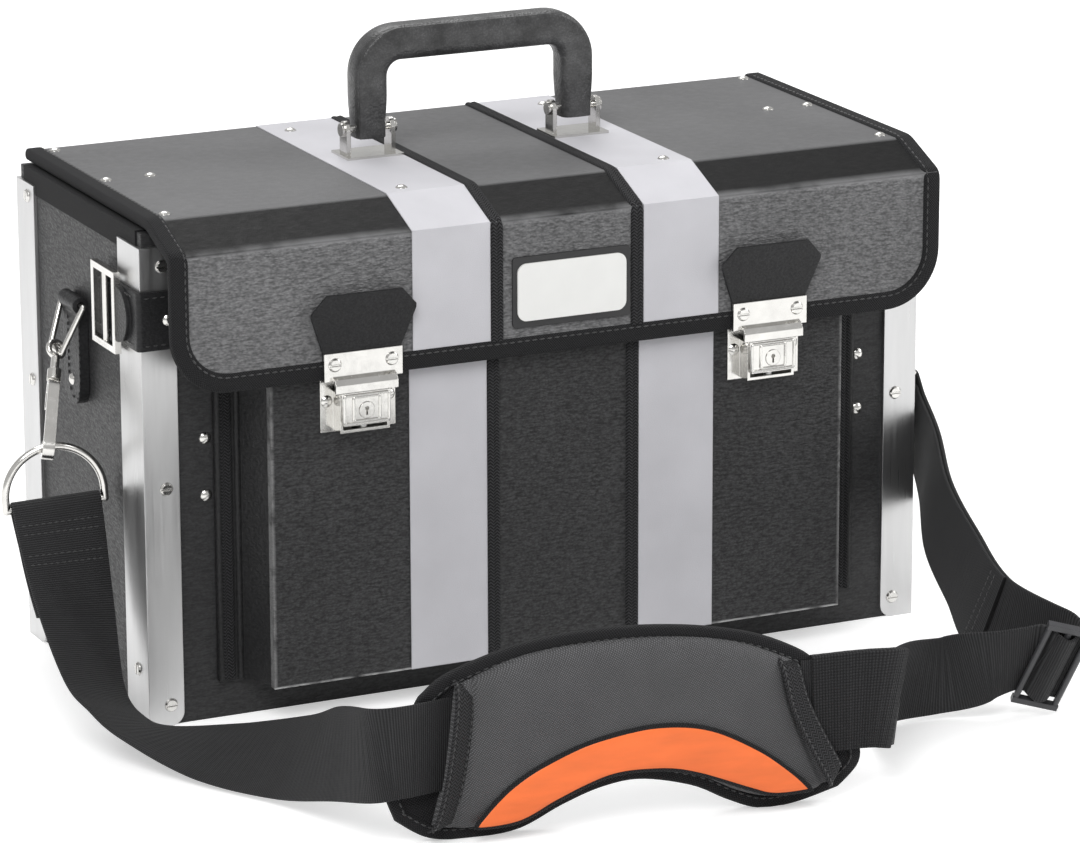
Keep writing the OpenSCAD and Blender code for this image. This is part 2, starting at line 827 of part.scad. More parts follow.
module arch_outline(half, top, r) {
  translate([-half, pivot_z - leg_low]) square([2 * half, top - r - pivot_z + leg_low]);
  translate([-half + r, top - r - 1]) square([2 * (half - r), r + 1]);
  for (s = [-1, 1]) translate([s * (half - r), top - r]) circle(r = r);
}

module pin_bore(r) {
  translate([-handle_w, pivot_y, pivot_z]) rotate([0, 90, 0]) cylinder(r = r, h = 2 * handle_w);
}

module handle_grip() {
  color("#161616") difference() {
    along_y(pivot_y - grip_t / 2, pivot_y + grip_t / 2) difference() {
      arch_outline(handle_w / 2, handle_top, grip_r);
      translate([0, -leg_low - 1]) arch_outline(handle_w / 2 - leg_w, handle_top - leg_w + leg_low + 1, 8);
    }
    pin_bore(pin_r + pin_run);
  }
}

ear_out = leg_w / 2 + ear_gap + ear_t;

module handle_pins() {
  head_t = 1.6;
  color("gainsboro") for (s = [-1, 1]) translate([s * leg_x, pivot_y, pivot_z]) rotate([0, 90, 0]) {
    translate([0, 0, -ear_out]) cylinder(r = pin_r, h = 2 * ear_out);
    for (t = [-ear_out - head_t, ear_out]) translate([0, 0, t]) cylinder(r = ear_r - 1, h = head_t);
  }
}

module handle_brackets() {
  color("gainsboro") difference() {
    for (s = [-1, 1]) translate([s * leg_x, pivot_y, 0]) {
      board([-bracket_w / 2, -bracket_d / 2, plate_z], [bracket_w / 2, bracket_d / 2, plate_z + bracket_t]);
      for (m = [0, 1]) mirror([m, 0, 0]) {
        board([ear_out - ear_t, -ear_r, plate_z], [ear_out, ear_r, pivot_z]);
        translate([ear_out - ear_t, 0, pivot_z]) rotate([0, 90, 0]) cylinder(r = ear_r, h = ear_t);
      }
    }
    pin_bore(pin_r + pin_run);
  }
}

// ---- Strap anchors on the sides ----

module both_sides() {
  for (m = [0, 1]) mirror([m, 0, 0]) children();
}

tip_r = band_t * 6;
tip_y = buckle_y - buckle_w / 2;

// Leather band round each front corner, with the strap end's round tip lying on it.
module corner_bands() {
  color("#1d1d1d") difference() {
    both_sides() {
      translate([0, 0, band_low]) linear_extrude(band_top - band_low) {
        translate([band_front_x, -y_out - band_t]) square([x_out - band_front_x, band_t]);
        translate([x_out, -y_out]) square([band_t, y_out + band_rear_y]);
        intersection() {
          translate([x_out, -y_out]) circle(r = band_t);
          translate([x_out, -y_out - band_t]) square(band_t);
        }
      }
      translate([x_out + band_t, tip_y, band_z]) rotate([0, 90, 0]) difference() {
        cylinder(r = tip_r, h = band_t);
        translate([-tip_r - 1, 0, -1]) cube([2 * tip_r + 2, tip_r + 1, band_t + 2]);
      }
    }
    shank_holes(band_rivets, rivet_shank_r + slide_clear / 2, band_rivet_depth);
  }
}

module rod(a, b, r) {
  d = b - a;
  translate(a) rotate([0, acos(d[2] / norm(d)), atan2(d[1], d[0])]) cylinder(r = r, h = norm(d));
}

// Closed wire frame through the points, its corners a hair fuller than the wire.
knuckle_round = 0.06;
module wire_frame(points, r) {
  n = len(points);
  for (i = [0 : n - 1]) {
    rod(points[i], points[(i + 1) % n], r);
    translate(points[i]) sphere(r = r + knuckle_round);
  }
}

// Two-bar buckle that clamps the band.
module band_buckles() {
  bar_x = x_out + band_t + buckle_bar / 2;
  color("gainsboro") both_sides() {
    for (t = [-1, 1]) {
      translate([bar_x - buckle_bar / 2, buckle_y + t * (buckle_w - buckle_bar) / 2 - buckle_bar / 2,
        band_z - buckle_h / 2]) cube([buckle_bar, buckle_bar, buckle_h]);
      translate([bar_x - buckle_bar / 2, buckle_y - buckle_w / 2,
        band_z + t * (buckle_h - buckle_bar) / 2 - buckle_bar / 2]) cube([buckle_bar, buckle_w, buckle_bar]);
    }
    translate([bar_x, buckle_y, band_z - buckle_h / 2 + 1]) cylinder(r = buckle_bar / 2, h = buckle_h - 2);
  }
}

// Leather tab folded over the wire loop's upper bar and riveted to the side.
module hanger_tabs() {
  fold = loop_top_x - x_wall;
  end_r = hanger_w / 2;
  color("#1d1d1d") difference() {
    both_sides() translate([x_wall, hanger_y, 0]) intersection() {
      along_y(-end_r, end_r) difference() {
        union() {
          polygon([[0, hanger_low], [hanger_t, hanger_low], [hanger_t, loop_top_z - 6],
            [2 * fold, loop_top_z], [0, loop_top_z]]);
          translate([fold, loop_top_z]) circle(r = fold);
        }
        translate([fold, loop_top_z]) circle(r = loop_wire / 2 + slide_clear);
      }
      across(-1, 3 * fold) {
        translate([0, hanger_low + end_r]) circle(r = end_r);
        translate([-end_r, hanger_low + end_r]) square([hanger_w, loop_top_z]);
      }
    }
    shank_holes(hanger_rivets, rivet_shank_r + slide_clear / 2, hanger_t + wall_t - 1);
  }
}

module wire_loops() {
  color("gainsboro") both_sides() wire_frame([
    [loop_top_x, hanger_y - loop_half_top, loop_top_z],
    [loop_top_x, hanger_y + loop_half_top, loop_top_z],
    [loop_low_x, loop_half_low, loop_low_z],
    [loop_low_x, -loop_half_low, loop_low_z]], loop_wire / 2);
}

// ---- Snap hooks ----

jaw_in = 3.4;
jaw_wall = 3;
jaw_top = 32;
hook_t = 6;
gate_t = 3;
gate_low = 5;
gate_high = 27.5;
cheek_low = 24;
gate_pin_z = 25.5;
gate_pin_r = 0.8;
collar_r = 3.6;
neck_r = 2.2;

// Places local Z along the hook, from the jaw's seat up to the eye.
module hook_frame(s, turn) {
  lean = sin(turn[1]) * sin(turn[0]);
  eye_gap = eye_r - ((eye_wire + loop_wire) / 2 + slide_clear) / sqrt(1 - lean * lean);
  translate([s * loop_low_x, 0, loop_low_z])
    rotate([0, 0, turn[0]]) rotate([0, turn[1], 0]) rotate([0, 0, turn[2]])
      translate([0, 0, -hook_len - eye_gap]) children();
}

module capsule(r, high) {
  circle(r = r);
  translate([0, high]) circle(r = r);
  translate([-r, 0]) square([2 * r, high]);
}

module snap_hook(s, turn) {
  mid_x = jaw_in + jaw_wall / 2;
  eye_turn = atan2(-cos(turn[1]) * sin(turn[0]), cos(turn[0]));
  color("gainsboro") hook_frame(s, turn) {
    difference() {
      along_y(-hook_t / 2, hook_t / 2) difference() {
        capsule(jaw_in + jaw_wall, jaw_top);
        capsule(jaw_in, jaw_top);
      }
      board([0, -gate_t / 2 - slide_clear, gate_low], [2 * mid_x, gate_t / 2 + slide_clear, gate_high]);
      board([0, -hook_t, gate_low], [2 * mid_x, hook_t, cheek_low]);
      translate([mid_x, hook_t, gate_pin_z]) rotate([90, 0, 0])
        cylinder(r = gate_pin_r + pin_run, h = 2 * hook_t);
    }
    translate([0, 0, jaw_top + jaw_in + jaw_wall - 0.4]) {
      cylinder(r = collar_r, h = 6);
      cylinder(r = neck_r, h = hook_len - jaw_top - jaw_in - jaw_wall - eye_r);
    }
    translate([0, 0, hook_len]) rotate([90, 0, eye_turn - turn[2]])
      rotate_extrude() translate([eye_r, 0]) circle(r = eye_wire / 2);
  }
}

module snap_hook_left() snap_hook(-1, hook_turn_left);

module snap_hook_right() snap_hook(1, hook_turn_right);

module hook_gate(s, turn) {
  mid_x = jaw_in + jaw_wall / 2;
  color("silver") hook_frame(s, turn) {
    board([jaw_in, -gate_t / 2, gate_low + slide_clear],
      [jaw_in + jaw_wall - 0.4, gate_t / 2, gate_pin_z]);
    translate([mid_x, gate_t / 2, gate_pin_z]) rotate([90, 0, 0])
      cylinder(r = jaw_wall / 2 - slide_clear, h = gate_t);
    translate([mid_x, hook_t / 2, gate_pin_z]) rotate([90, 0, 0])
      cylinder(r = gate_pin_r, h = hook_t);
  }
}

module hook_gate_left() hook_gate(-1, hook_turn_left);

module hook_gate_right() hook_gate(1, hook_turn_right);

// ---- Webbing ----

function unit(v) = v / norm(v);

function blend(a, b, c, d, t) = 0.5 * (2 * b + (c - a) * t
  + (2 * a - 5 * b + 4 * c - d) * t * t + (3 * b - a - 3 * c + d) * t * t * t);

// Smooth line through the rows of a list, n steps to each.
function smooth(rows, n) = let (last = len(rows) - 1) concat(
  [for (i = [0 : last - 1], k = [0 : n - 1])
    let (a = rows[max(i - 1, 0)], d = rows[min(i + 2, last)])
      [for (j = [0 : len(rows[0]) - 1]) blend(a[j], rows[i][j], rows[i + 1][j], d[j], k / n)]],
  [rows[last]]);

// Each place on a strap as [centre, direction across, normal].
function strap_places(rows) = let (last = len(rows) - 1)
  [for (i = [0 : last])
    let (along = unit(rows[min(i + 1, last)][0] - rows[max(i - 1, 0)][0]),
      w = unit(rows[i][1] - (rows[i][1] * along) * along))
      [rows[i][0], w, cross(along, w)]];

// Half turn round a bar behind the first place, then the tail lying behind the strap.
function folded_start(places, tail_count) = let (
    c = places[0][0], w = places[0][1], n = places[0][2], along = cross(w, n),
    bar = c - fold_r * n, back = web_t + fold_clear)
  concat(
    [for (i = [tail_count : -1 : 2]) [places[i][0] - back * places[i][2], places[i][1], places[i][2]]],
    [for (a = [0 : 30 : 150])
      [bar - fold_r * (cos(a) * n + sin(a) * along), w, sin(a) * along * -1 - cos(a) * n]],
    places);

// A flat strap through places; the third entry's sign only tells the two faces apart.
module strap(places) {
  last = len(places) - 1;
  rows = [for (i = [0 : last])
    let (along = unit(places[min(i + 1, last)][0] - places[max(i - 1, 0)][0]),
      w = unit(places[i][1] - (places[i][1] * along) * along), n = cross(along, w))
      [for (p = [[-1, -1], [1, -1], [1, 1], [-1, 1]])
        places[i][0] + p[0] * w * web_w / 2 + p[1] * n * web_t / 2]];
  sides = [for (i = [0 : last - 1], k = [0 : 3])
    let (a = 4 * i + k, b = 4 * i + (k + 1) % 4) each [[a, a + 4, b + 4], [a, b + 4, b]]];
  polyhedron([for (r = rows) each r],
    concat([[0, 1, 2], [0, 2, 3]], sides,
      [[4 * last, 4 * last + 2, 4 * last + 1], [4 * last, 4 * last + 3, 4 * last + 2]]));
}

steps = 4;
left_places = strap_places(smooth(left_run, steps));
left_bar = left_places[0][0] - fold_r * left_places[0][2];

adj_w = unit(adjuster_across);
adj_q = unit(adjuster_along - (adjuster_along * adj_w) * adj_w);
adj_n = cross(adj_q, adj_w);
weave_r = (bar_t + web_t) / 2 + 2 * fold_clear;

function at_adjuster(q, n) = [adjuster_at + q * adj_q + n * adj_n, adjuster_across];

// The strap runs behind the first bar, over the middle one and back through the second slot.
weave = [at_adjuster(-bar_pitch, -weave_r), at_adjuster(-bar_pitch / 2, 0),
  at_adjuster(0, weave_r), at_adjuster(bar_pitch / 2, -1), at_adjuster(bar_pitch / 2 + 1, -14)];
right_rows = smooth(concat(low_run, weave, high_run), steps);
right_places = strap_places([for (i = [len(right_rows) - 1 : -1 : 0])
  [right_rows[i][0], -right_rows[i][1]]]);
right_bar = right_places[0][0] - fold_r * right_places[0][2];
tail_steps = 5;

module webbing_left() {
  color("#202020") strap(folded_start(left_places, tail_steps));
}

module webbing_right() {
  color("#202020") strap(folded_start(right_places, (len(high_run) - 1) * steps));
}

ring_leg = 5.5;

// A ring whose straight bar lies across the strap and whose arc points the given way.
module d_ring(bar, w, towards) {
  r = (ring_d - ring_wire) / 2;
  u = unit(towards - (towards * w) * w);
  v = cross(u, w);
  color("gainsboro") multmatrix([for (i = [0 : 2]) [w[i], v[i], u[i], bar[i]]]) {
    translate([0, 0, ring_leg]) rotate([90, 0, 0])
      rotate_extrude(angle = 180) translate([r, 0]) circle(r = ring_wire / 2);
    for (s = [-1, 1]) translate([s * r, 0, 0]) {
      sphere(r = ring_wire / 2);
      cylinder(r = ring_wire / 2, h = ring_leg);
    }
    translate([-r, 0, 0]) rotate([0, 90, 0]) cylinder(r = ring_wire / 2, h = 2 * r);
  }
}

module d_ring_left() d_ring(left_bar, left_places[0][1], [0, 0, 1]);

module d_ring_right() d_ring(right_bar, right_places[0][1], [0.18, 0.69, 0.7]);

// Three-bar slide: round bars across the strap between two flat ends.
module strap_adjuster() {
  reach = web_w / 2 + 2.5;
  half_l = bar_pitch + bar_t / 2;
  tilt = acos(adj_w[2]);
  swing = atan2(adj_w[1], adj_w[0]);
  along_x = [cos(tilt) * cos(swing), cos(tilt) * sin(swing), -sin(tilt)];
  along_y = [-sin(swing), cos(swing), 0];
  spin = atan2(adj_q * along_y, adj_q * along_x);
  color("#303030") translate(adjuster_at) rotate([0, tilt, swing]) rotate([0, 0, spin]) {
    for (i = [-1 : 1]) translate([i * bar_pitch, 0, -reach - 1]) cylinder(r = bar_t / 2 - 0.1, h = 2 * reach + 2);
    for (z = [-reach - bar_t, reach]) translate([-half_l, -bar_t / 2, z]) cube([2 * half_l, bar_t, bar_t]);
  }
}

// ---- Shoulder pad ----

base_edge = [[-110, 71], [-95, 82], [-60, 93], [-20, 97], [20, 95], [55, 88], [80, 77], [90, 68],
  [98, 48], [109, 30], [110, 18], [100, 7], [78, 1], [60, 0], [44, 6], [26, 15], [0, 21],
  [-20, 19], [-40, 12], [-62, 2], [-86, 0], [-106, 2], [-122, 12], [-127, 30], [-120, 50]];
cover_edge = [[-93, 77], [-60, 89], [-20, 92.5], [20, 91], [50, 85], [76, 74], [80, 55], [90, 33],
  [101, 13], [84, 6], [64, 5.5], [48, 10], [28, 19.5], [0, 25.5], [-22, 24], [-42, 16],
  [-62, 7], [-88, 5], [-105, 7], [-100, 28], [-96, 52]];
insert_edge = [[-86, 8], [-70, 25], [-50, 37], [-25, 46], [5, 50], [31, 46], [56, 33], [77, 16],
  [83, 10], [64, 10], [51, 14], [26, 24], [5, 28.5], [-20, 27.5], [-45, 18], [-65, 9]];

// Closed smooth outline through the points.
function closed_smooth(points, n) = let (m = len(points))
  [for (i = [0 : m - 1], k = [0 : n - 1])
    blend(points[(i + m - 1) % m], points[i], points[(i + 1) % m], points[(i + 2) % m], k / n)];

// The outline moved inwards by d along its own normals.
function drawn_in(points, d) = let (m = len(points))
  [for (i = [0 : m - 1])
    let (t = unit(points[(i + 1) % m] - points[(i + m - 1) % m])) points[i] + d * [t[1], -t[0]]];

// A padded slab: each layer is [drawn in by, height], from its back to its crown.
module slab(points, layers) {
  m = len(points);
  top = (len(layers) - 1) * m;
  polyhedron(
    [for (l = layers) each [for (p = drawn_in(points, l[0])) [p[0], -l[1], p[1]]]],
    concat([[for (i = [m - 1 : -1 : 0]) i]],
      [for (j = [0 : len(layers) - 2], i = [0 : m - 1])
        let (a = j * m + i, b = j * m + (i + 1) % m) each [[a, b, b + m], [a, b + m, a + m]]],
      [[for (i = [0 : m - 1]) top + i]]));
}

module pad_frame() {
  translate(pad_at) rotate([0, 0, pad_turn]) children();
}

// A flat sheet of the outline, from the height low to the height high over the pad's plane.
module flat_sheet(points, low, high) {
  rotate([90, 0, 0]) translate([0, 0, low]) linear_extrude(high - low)
    polygon(closed_smooth(points, 2));
}

module pad_backing() {
  color("#222222") pad_frame() flat_sheet(base_edge, -pad_base_t, 0);
}

// Crowned cushion sewn on the backing between its two end seams.
module pad_cushion() {
  color("#444444") pad_frame() slab(closed_smooth(cover_edge, 2),
    [[0.6, 0], [0, pad_t * 0.35], [1.2, pad_t * 0.7], [3.5, pad_t * 0.93], [6, pad_t]]);
}

module pad_insert() {
  color("darkorange") pad_frame() flat_sheet(insert_edge, pad_t, pad_t + insert_t);
}

// ---- Draw ----

base_board();
front_panel();
back_panel();
left_panel();
right_panel();
rim_bindings();
front_angles();
rear_angles();
case_screws();
case_rivets();
tool_rails();
tool_board();
pocket_board();
pocket_floor();
pocket_gussets();
pocket_stripes();
pocket_strips();
hinge_leaf_back();
hinge_leaf_lid();
hinge_pin();
lid_board();
lid_binding();
lid_stripes();
lid_strips();
label_plate();
lid_rivets();
hasp_left();
hasp_right();
pull_tabs();
hasp_screws();
lock_base_left();
lock_base_right();
lock_button_left();
lock_button_right();
key_cylinder_left();
key_cylinder_right();
lock_spring_left();
lock_spring_right();
handle_grip();
handle_pins();
handle_brackets();
corner_bands();
band_buckles();
hanger_tabs();
wire_loops();
snap_hook_left();
snap_hook_right();
hook_gate_left();
hook_gate_right();
d_ring_left();
d_ring_right();
webbing_left();
webbing_right();
strap_adjuster();
pad_backing();
pad_cushion();
pad_insert();
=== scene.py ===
import math

import bmesh
import bpy
import numpy as np
from mathutils import Matrix, Vector


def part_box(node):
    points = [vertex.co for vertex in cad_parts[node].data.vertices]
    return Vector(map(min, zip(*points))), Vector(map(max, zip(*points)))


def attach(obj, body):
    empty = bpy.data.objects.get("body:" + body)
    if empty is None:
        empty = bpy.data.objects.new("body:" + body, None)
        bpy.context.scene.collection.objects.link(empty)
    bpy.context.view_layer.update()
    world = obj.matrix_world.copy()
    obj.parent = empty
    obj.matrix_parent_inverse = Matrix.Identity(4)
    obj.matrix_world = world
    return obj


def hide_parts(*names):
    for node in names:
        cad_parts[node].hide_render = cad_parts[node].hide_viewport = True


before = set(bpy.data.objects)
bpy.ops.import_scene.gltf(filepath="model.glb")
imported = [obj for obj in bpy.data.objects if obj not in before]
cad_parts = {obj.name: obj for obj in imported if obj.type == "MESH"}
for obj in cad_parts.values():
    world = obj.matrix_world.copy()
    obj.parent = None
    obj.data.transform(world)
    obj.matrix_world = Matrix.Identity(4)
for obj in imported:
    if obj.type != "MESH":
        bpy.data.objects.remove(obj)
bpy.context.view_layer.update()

bl_info = {
    "name": "Hard tool case",
    "version": (1, 0, 0),
    "blender": (4, 5, 0),
    "location": "3D View > Sidebar > Tool Case",
    "description": "Dresses the tool case: coverings, bindings, handle, shoulder strap and pad",
    "category": "Object",
}

MM = 0.001
SIDES = ((-1, "left"), (1, "right"))
TO_RIGHT, TO_FRONT, TO_BACK = ((1.0, 0.0, 0.0), (0.0, -1.0, 0.0), (0.0, 1.0, 0.0))

# Places on the case, in metres: the lid's outer face, then the pocket board.
LID_BACK, CREASE_Y, FLAP_Y = 0.0845, -0.087, -0.1184
LID_TOP, FLAP_TOP, FLAP_LOW = 0.264, 0.2515, 0.181
LID_HALF, FLAP_ROUND, FOLD_BEND = 0.215, 0.030, 0.004
LID_THICK, FLAP_THICK = 0.004, 0.003
BOARD_FRONT, BOARD_LOW, BOARD_TOP = -0.113, 0.020, 0.226
BRAID_X, WORN_SIDE = 0.0394, (0.1596, 0.1612)

# ---- settings


def length(name, description, default, low, high):
    """A size in metres."""
    return bpy.props.FloatProperty(name=name, description=description, default=default,
                                   min=low, max=high, unit="LENGTH")


def tone(name, description, default):
    """A colour, in linear light."""
    return bpy.props.FloatVectorProperty(name=name, description=description, default=default,
                                         min=0.0, max=1.0, subtype="COLOR")


class CaseSizes(bpy.types.PropertyGroup):
    """Sizes of the dressed pieces."""

    webbing_width: length("Webbing width", "Width of the shoulder webbing", 0.046, 0.03, 0.05)
    webbing_thickness: length("Webbing thickness", "Thickness of the shoulder webbing",
                              0.002, 0.001, 0.003)
    binding_width: length("Binding width", "Width of the lid's woven binding on its face",
                          0.009, 0.006, 0.012)
    pad_loft: length("Pad loft", "Height of the shoulder pad's crown over its backing",
                     0.0105, 0.004, 0.014)
    stitch_pitch: length("Stitch pitch", "Distance from one stitch to the next",
                         0.0042, 0.003, 0.008)


class CaseColours(bpy.types.PropertyGroup):
    """Colours of the main finishes."""

    lid: tone("Lid covering", "Leatherette of the lid", (0.165, 0.165, 0.168))
    walls: tone("Wall covering", "Leatherette of the walls and pocket", (0.034, 0.034, 0.035))
    stripe: tone("Stripe", "Light stripes on lid and pocket", (0.56, 0.555, 0.585))
    webbing: tone("Webbing", "Shoulder webbing", (0.017, 0.017, 0.018))
    insert: tone("Pad insert", "Bright insert of the shoulder pad", (0.90, 0.175, 0.035))


def sizes():
    return bpy.context.scene.case_sizes


# ---- materials

RIB_SCALE = 0.314  # scale at which a wave texture has one rib a unit
THOUSAND = (1000, 1000, 1000)


def shade(colour, factor):
    return tuple(min(1.0, c * factor) for c in colour)


class Finish:
    """A material under construction: its shader and short ways to add nodes to it."""

    def __init__(self, name, base, rough=0.5, metal=0.0, **sockets):
        self.material = bpy.data.materials.new(name)
        self.material.use_nodes = True
        self.nodes = self.material.node_tree.nodes
        self.join = self.material.node_tree.links.new
        self.shader = self.nodes["Principled BSDF"]
        self.base = base
        self.put(Base_Color=(*base, 1.0), Roughness=rough, Metallic=metal, **sockets)

    def put(self, **sockets):
        for socket, value in sockets.items():
            self.shader.inputs[socket.replace("_", " ")].default_value = value

    def add(self, kind, **settings):
        """A new node; a setting goes to its own property, or to its input of that name."""
        node = self.nodes.new(kind)
        for key, value in settings.items():
            if hasattr(node, key):
                setattr(node, key, value)
            else:
                node.inputs[key.replace("_", " ")].default_value = value
        return node

    def place(self, scale=(1, 1, 1), uv=False, turn=0.0):
        """Object coordinates, or the piece's own UV map in millimetres, scaled and turned."""
        source = self.add("ShaderNodeTexCoord")
        mapping = self.add("ShaderNodeMapping", Scale=scale, Rotation=(0, 0, turn))
        self.join(source.outputs["UV" if uv else "Object"], mapping.inputs["Vector"])
        return mapping.outputs["Vector"]

    def axes(self, where=None):
        node = self.add("ShaderNodeSeparateXYZ")
        self.join(where or self.place(), node.inputs[0])
        return node.outputs

    def pattern(self, node, where, output="Fac"):
        self.join(where or self.place(), node.inputs["Vector"])
        return node.outputs[output]

    def noise(self, scale, detail=3.0, rough=0.5, where=None):
        return self.pattern(self.add("ShaderNodeTexNoise", Scale=scale, Detail=detail,
                                     Roughness=rough), where)

    def cells(self, scale, smooth=0.0, where=None):
        """Distance to the nearest cell's middle, with its creases rounded off by smooth."""
        rounding = {"feature": "SMOOTH_F1", "Smoothness": smooth} if smooth else {}
        return self.pattern(self.add("ShaderNodeTexVoronoi", Scale=scale, **rounding), where,
                            "Distance")

    def ribs(self, pitch, direction, where, wobble=0.0):
        """Even ribs, pitch in the place's own unit."""
        return self.pattern(self.add("ShaderNodeTexWave", wave_type="BANDS", Distortion=wobble,
                                     bands_direction=direction, Scale=RIB_SCALE / pitch), where)

    def calc(self, operation, *values):
        node = self.add("ShaderNodeMath", operation=operation)
        for socket, value in zip(node.inputs, values):
            if isinstance(value, (int, float)):
                socket.default_value = value
            else:
                self.join(value, socket)
        return node.outputs[0]

    def plus(self, a, b):
        return self.calc("ADD", a, b)

    def less(self, a, b):
        return self.calc("SUBTRACT", a, b)

    def times(self, a, b):
        return self.calc("MULTIPLY", a, b)

    def span(self, value, low, high, to_low=0.0, to_high=1.0):
        """The value's range from low to high set to another range, and clamped to it."""
        node = self.add("ShaderNodeMapRange", From_Min=low, From_Max=high, To_Min=to_low,
                        To_Max=to_high)
        self.join(value, node.inputs["Value"])
        return node.outputs["Result"]

    def mix(self, factor, a, b):
        """Colour a where the factor is 0, b where it is 1."""
        node = self.add("ShaderNodeMix", data_type="RGBA")
        self.join(factor, node.inputs[0])
        for socket, value in zip([s for s in node.inputs if s.type == "RGBA"], (a, b)):
            if isinstance(value, tuple):
                socket.default_value = (*value, 1.0)
            else:
                self.join(value, socket)
        return next(s for s in node.outputs if s.type == "RGBA")

    def colour(self, value):
        self.join(value, self.shader.inputs["Base Color"])

    def tint(self, factor, dark, light):
        """The base colour times dark where the factor is 0, times light where it is 1."""
        self.colour(self.mix(factor, shade(self.base, dark), shade(self.base, light)))

    def roughness(self, value):
        self.join(value, self.shader.inputs["Roughness"])

    def relief(self, height, depth, strength=1.0, edge=0.0):
        """Bump of the given depth in metres, over edges rounded by the radius edge."""
        bump = self.add("ShaderNodeBump", Strength=strength, Distance=depth)
        self.join(height, bump.inputs["Height"])
        if edge:
            bevel = self.add("ShaderNodeBevel", samples=4, Radius=edge)
            self.join(bevel.outputs["Normal"], bump.inputs["Normal"])
        self.join(bump.outputs["Normal"], self.shader.inputs["Normal"])


def leatherette(name, base, grain=(240, 240, 820), depth=0.00028, rough=0.42, contrast=0.28):
    """Pressed leather grain: stretched wrinkles of about 4 by 1 mm broken up by small cells,
    the valleys painted darker as shade and the crests rubbed lighter."""
    m = Finish(name, base, rough, Specular_IOR_Level=0.25)
    wrinkle = m.noise(1.0, 4.0, 0.6, m.place(grain))
    cells = m.cells(1.0, 0.6, m.place((600, 600, 900)))
    height = m.less(m.times(wrinkle, 1.6), m.times(cells, 0.5))
    m.relief(height, depth, edge=0.0012)
    # Colour follows the grain's height: painted shade in the valleys, crests rubbed lighter.
    crest = m.span(height, 0.3, 0.85, 1 - contrast, 1 + contrast)
    lit = m.times(crest, m.span(m.noise(14), 0.35, 0.7, 0.9, 1.1))
    m.tint(m.times(lit, 0.5), 0.0, 2.0)
    m.roughness(m.span(wrinkle, 0.3, 0.7, rough + 0.12, rough - 0.07))
    return m


def lid_covering(base):
    """Lid leatherette: fine on top; smooth on the chamfer, which is painted near-black as shade;
    coarse on the flap, its valleys painted darker as shade; the lower fold rubbed pale."""
    m = Finish("lid_leatherette", base, 0.5, Specular_IOR_Level=0.12)
    z = m.axes()[2]
    flap = m.span(z, FLAP_TOP - 0.3 * MM, FLAP_TOP - 1.3 * MM)
    top = m.span(z, LID_TOP - 1.0 * MM, LID_TOP - 0.2 * MM)
    cells = m.cells(1.0, 0.5, m.place((560, 560, 860)))
    wrinkle = m.noise(1.0, 4.0, 0.62, m.place((210, 210, 760)))
    coarse = m.less(m.times(wrinkle, 1.7), m.times(cells, 0.55))
    m.relief(m.plus(m.times(coarse, m.plus(flap, 0.15)), m.times(m.noise(1500), 0.18)),
             0.0006, edge=0.0014)
    # On the flap the grain's valleys are painted darker as shade, its crests lighter.
    crest = m.plus(1.0, m.times(m.span(coarse, 0.3, 0.9, -0.38, 0.38), flap))
    cloud = m.span(m.noise(11, 4.0), 0.3, 0.75, 0.88, 1.12)
    lit = m.times(m.times(crest, cloud), m.span(top, 0.0, 1.0, 0.98, 0.86))
    grained = m.mix(m.times(lit, 0.5), (0.0, 0.0, 0.0), shade(base, 2.0))
    # Painted shade: the chamfer between top and flap is coloured base times 0.06.
    faces = m.calc("MINIMUM", m.plus(flap, top), 1.0)
    from_fold = m.calc("ABSOLUTE", m.less(z, FLAP_TOP - 0.4 * MM))
    rubbed = m.times(m.span(from_fold, 2.4 * MM, 0.5 * MM), m.span(m.noise(45, 4.0), 0.3, 0.62))
    m.colour(m.mix(m.times(rubbed, 0.45), m.mix(faces, shade(base, 0.06), grained),
                   shade(base, 2.1)))
    m.roughness(m.span(wrinkle, 0.3, 0.7, 0.56, 0.42))
    return m


def pocket_leather(base):
    """Wall leatherette with its lower and side edges rubbed pale where the cover is worn."""
    m = leatherette("pocket_leatherette", base, (220, 220, 820), 0.0006, 0.4, 0.55)
    x, y, z = m.axes()
    low = m.times(m.span(z, BOARD_LOW + 1.3 * MM, BOARD_LOW + 0.3 * MM),
                  m.span(y, BOARD_FRONT + 1.2 * MM, BOARD_FRONT + 0.6 * MM))
    side = m.times(m.span(m.calc("ABSOLUTE", x), *WORN_SIDE), 0.35)
    worn = m.times(m.calc("MAXIMUM", low, side), m.span(m.noise(90), 0.3, 0.55))
    leather = m.shader.inputs["Base Color"].links[0].from_socket
    m.colour(m.mix(worn, leather, (0.55, 0.55, 0.55)))
    return m


def woven(name, base, pitch=1.0, depth=0.00025, uv=True, slant=0.0):
    """Plain weave: two crossed sets of ribs, pitch in millimetres."""
    m = Finish(name, base, 0.85, Sheen_Weight=0.04, Specular_IOR_Level=0.25)
    where = m.place((1, 1, 1) if uv else THOUSAND, uv, slant)
    height = m.times(m.plus(m.ribs(pitch, "X", where), 0.4),
                     m.plus(m.ribs(pitch, "Y", where), 0.6))
    fuzz = m.noise(0.9 if uv else 900, 3.0, 0.6, where)
    m.relief(m.plus(height, m.times(fuzz, 0.5)), depth)
    m.tint(m.span(height, 0.3, 1.6), 0.4, 2.0)
    return m


def ribbed_webbing(base):
    """Webbing: fine ribs straight across it, crossed by faint warp lines."""
    m = Finish("strap_webbing", base, 0.7, Sheen_Weight=0.04, Specular_IOR_Level=0.3)
    where = m.place(uv=True)
    height = m.plus(m.ribs(1.15, "X", where, 0.35), m.times(m.ribs(0.8, "Y", where, 0.25), 0.35))
    m.relief(height, 0.0003)
    cloud = m.span(m.noise(0.06, 2.0, 0.5, where), 0.3, 0.7, 0.75, 1.0)
    m.tint(m.times(m.span(height, 0.2, 1.3), cloud), 0.35, 2.4)
    return m


